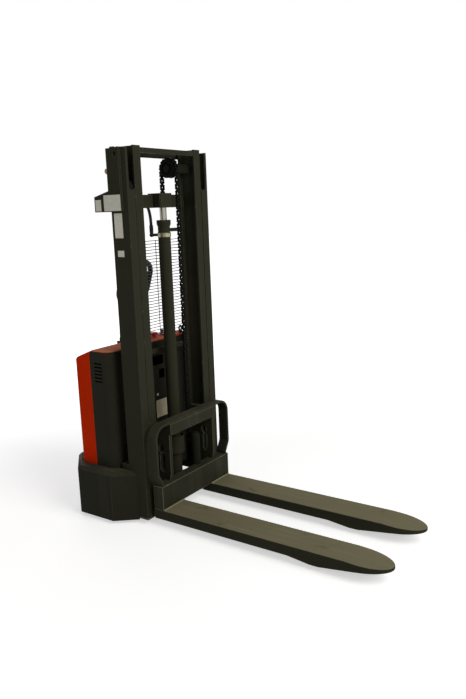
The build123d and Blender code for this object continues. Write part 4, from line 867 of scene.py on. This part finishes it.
# %% [markdown]
# ## Wire guard
#
# The measured guard is a thin sheet with square bars. Real welded mesh is round wire: level wires in
# front and a few uprights behind, touching where they are welded.

# %% Round guard wires
WIRE_RADIUS = 1.9
GUARD_X = -194.5
GUARD_LOW = 905.0
GUARD_PITCH = 15.0
GUARD_ROWS = 33
GUARD_WIDTH = 583.0
GUARD_UPRIGHTS = (-290.0, -190.0, 0.0, 190.0, 290.0)
GUARD_RISE = GUARD_PITCH * (GUARD_ROWS - 1)
UPRIGHT_X = GUARD_X - 1.8 * WIRE_RADIUS
UPRIGHT_LENGTH = GUARD_RISE + 6.0

level_wires = bar("level_wires", (GUARD_X, 0.0, GUARD_LOW), "y", WIRE_RADIUS, GUARD_WIDTH, GUARD_BLACK, 10)
row(level_wires, GUARD_ROWS, (0.0, 0.0, GUARD_PITCH))
guard = [level_wires]
for y in GUARD_UPRIGHTS:
    middle = (UPRIGHT_X, y, GUARD_LOW + GUARD_RISE / 2)
    guard.append(bar("upright_wire", middle, "z", WIRE_RADIUS, UPRIGHT_LENGTH, GUARD_BLACK, 10))
wires = joined("guard_wires", guard)
even_shading(wires)
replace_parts(seated(wires, "chassis"), "wire_guard")
print("guard wires", GUARD_ROWS, "by", len(GUARD_UPRIGHTS))

# %% [markdown]
# ## Hose
#
# A hose leaves the elbow at the cylinder's head, turns over behind the lift beam and goes down behind the
# mast into the hood. A smooth spline along the route's points gives it the even bends of rubber.

# %% Hose with its ferrule and grommet
HOSE_ROUTE = [
    (-208, -14, 1457), (-208, -14, 1534), (-208, -69, 1590), (-208, -147, 1590), (-208, -202, 1535),
    (-208, -206, 1457), (-208, -211, 1340), (-208, -212, 1220), (-209, -203, 1110), (-220, -191, 1040),
    (-252, -173, 978), (-288, -155, 926), (-288, -155, 866),
]
HOSE_DIAMETER = 0.015
FERRULE = (9.6, 36.0)
FERRULE_DROP = 15.0
GROMMET = (13.0, 6.0)

line = bpy.data.curves.new("hose", "CURVE")
line.dimensions = "3D"
spline = line.splines.new("NURBS")
spline.points.add(len(HOSE_ROUTE) - 1)
for point, place in zip(spline.points, HOSE_ROUTE):
    point.co = (*at(*place), 1.0)
spline.order_u = 3
spline.use_endpoint_u = True
line.resolution_u = 8
line.bevel_depth = HOSE_DIAMETER / 2
line.bevel_resolution = 4
line.use_fill_caps = True
line.materials.append(HOSE_RUBBER)
hose = bpy.data.objects.new("hose", line)
scene.collection.objects.link(hose)
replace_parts(seated(hose, "chassis"), "cylinder_hose")

x, y, z = HOSE_ROUTE[0]
ferrule = soften(bar("hose_ferrule", (x, y, z - FERRULE_DROP), "z", *FERRULE, CAST_IRON), 0.8)
x, y, z = HOSE_ROUTE[-1]
grommet = soften(bar("hose_grommet", (x, y, z + GROMMET[1] / 2), "z", *GROMMET, BLACK_PLASTIC), 2.0)
for piece, slot in ((ferrule, "bright_steel"), (grommet, "hose_rubber")):
    seated(piece, "chassis")
at(*HOSE_ROUTE[0])
print("hose through", len(HOSE_ROUTE), "points")

# %% [markdown]
# ## Bolts, rings and weld beads
#
# Small bright heads and ragged weld beads tell the eye how large the machine is. A bolt's head is a
# six-sided bar with rounded corners. A bead is a row of overlapping balls, as a welder leaves them.

# %% Bolt head and fittings
FITTINGS = {
    "hood_bolt": ((-248.5, 8.0, 577.0), "x", 8.0, 6.0, ZINC, 6, 0.7),
    "gland_ring": ((-138.0, 0.0, 1412.5), "z", 33.1, 20.0, BRASS, 48, 1.0),
    "grease_fitting": ((-206.0, -292.0, 1715.0), "x", 13.0, 26.0, COPPER, 20, 2.0),
}

for name, (middle, axis, radius, length, finish, sides, rounding) in FITTINGS.items():
    fitting = soften(bar(name, middle, axis, radius, length, finish, sides), rounding)
    seated(fitting, "chassis")
print("fittings", sorted(FITTINGS))

# %% [markdown]
# A small ring stands on the hood's front corner, to pull the battery plug with. A torus is narrowed into an
# upright oval and joined to the round boss that it is moulded on.

# %% Pull ring on the hood
PULL_RING = (-292.0, 280.0, 889.0)
RING_RADIUS = 12.0
RING_BAR = 5.0
RING_NARROW = 0.9
RING_BOSS = (11.0, 13.0)
BOSS_DROP = 19.0

bpy.ops.object.select_all(action="DESELECT")
bpy.ops.mesh.primitive_torus_add(
    major_radius=RING_RADIUS / 1000, minor_radius=RING_BAR / 1000, major_segments=36, minor_segments=12,
    location=at(*PULL_RING), rotation=TURNS["x"],
)
bpy.ops.transform.resize(value=(1.0, RING_NARROW, 1.0), center_override=at(*PULL_RING))
ring = settled("pull_ring", BLACK_PLASTIC)
even_shading(ring)
x, y, z = PULL_RING
boss = soften(bar("ring_boss", (x, y, z - BOSS_DROP), "z", *RING_BOSS, BLACK_PLASTIC), 2.0)
seated(joined("pull_ring", [ring, boss]), "chassis")
print("pull ring", round(2 * (RING_RADIUS + RING_BAR)), "mm high")

# %% [markdown]
# A weld bead follows a joint between two plates. Forks are welded to the carriage's foot, and the side
# plates to the mast.

# %% Weld beads
BEAD_STEP = 3.0
BALL_TURN = (0.35, 0.0, 0.0)
BEADS = {
    "fork": ((1.0, 122.0, 88.5), (1.0, 278.0, 88.5), 4.0, FORK_EDGE, "carriage", "fork_paint"),
    "plate": ((-117.0, 305.0, 1536.0), (-117.0, 305.0, 1806.0), 3.2, MAST_EDGE, "chassis", "mast_paint"),
}


def bead(name, start, end, radius, finish):
    """A weld bead from one point to another."""
    run = end - start
    count = int(run.length * 1000 / BEAD_STEP)
    bpy.ops.object.select_all(action="DESELECT")
    bpy.ops.mesh.primitive_uv_sphere_add(
        segments=12, ring_count=8, radius=radius / 1000, location=start, rotation=BALL_TURN,
    )
    ball = settled(name, finish)
    row(ball, count, run * 1000 / count)
    even_shading(ball)
    return ball


for name, (start, end, radius, finish, body, slot) in BEADS.items():
    pair = []
    for side in (Vector((1, -1, 1)), Vector((1, 1, 1))):
        pair.append(bead(f"{name}_bead", at(*start) * side, at(*end) * side, radius, finish))
    seated(joined(f"{name}_beads", pair), body)
print("weld beads on", sorted(BEADS))

# %% [markdown]
# ## Blank plates
#
# Thin plates and films sit on the mast and on the hood. They are plain here, with only their place, size
# and tone.

# %% Plain plates on mast and hood


def slab(name, low, high, finish):
    """A box between two corners."""
    bpy.ops.object.select_all(action="DESELECT")
    corner, opposite = at(*low), at(*high)
    bpy.ops.mesh.primitive_cube_add(size=1.0, location=(corner + opposite) / 2, scale=opposite - corner)
    return settled(name, finish)


def plate_finish(name, colour):
    """A pale printed film or stamped sheet, a little dirty."""
    film = new_finish(name)
    stain = film.noise(40.0, 5.0)
    return film.surface(
        Base_Color=film.blend(stain, rgba(colour, 0.82), rgba(colour, 1.12)),
        Roughness=0.38 + stain * 0.2,
    )


PALE_FILM = plate_finish("pale_film", (0.70, 0.68, 0.56))
WARM_FILM = plate_finish("warm_film", (0.74, 0.70, 0.60))
# Painted shade: the hood's blank plate is given a darker film because it stands in shade.
SHADED_FILM = plate_finish("shaded_hood_film", (0.62, 0.55, 0.37))
BLANKS = {
    "rating_blank": ((-225, -316.8, 1536), (-121, -315.8, 1608), PALE_FILM),
    "ear_blank": ((-279, -316.8, 1536), (-243, -315.8, 1588), PALE_FILM),
    "long_blank": ((-178, -304.8, 1412), (-128, -303.8, 1525), WARM_FILM),
    "small_blank": ((-168, -304.8, 1326), (-129, -303.8, 1355), WARM_FILM),
    "hood_blank": ((-250.2, -4, 450), (-249.2, 80, 545), SHADED_FILM),
}
blanks = [slab(name, low, high, finish) for name, (low, high, finish) in BLANKS.items()]
for blank in blanks:
    seated(soften(blank, 0.3, 1), "chassis")
print("blank plates", len(blanks))
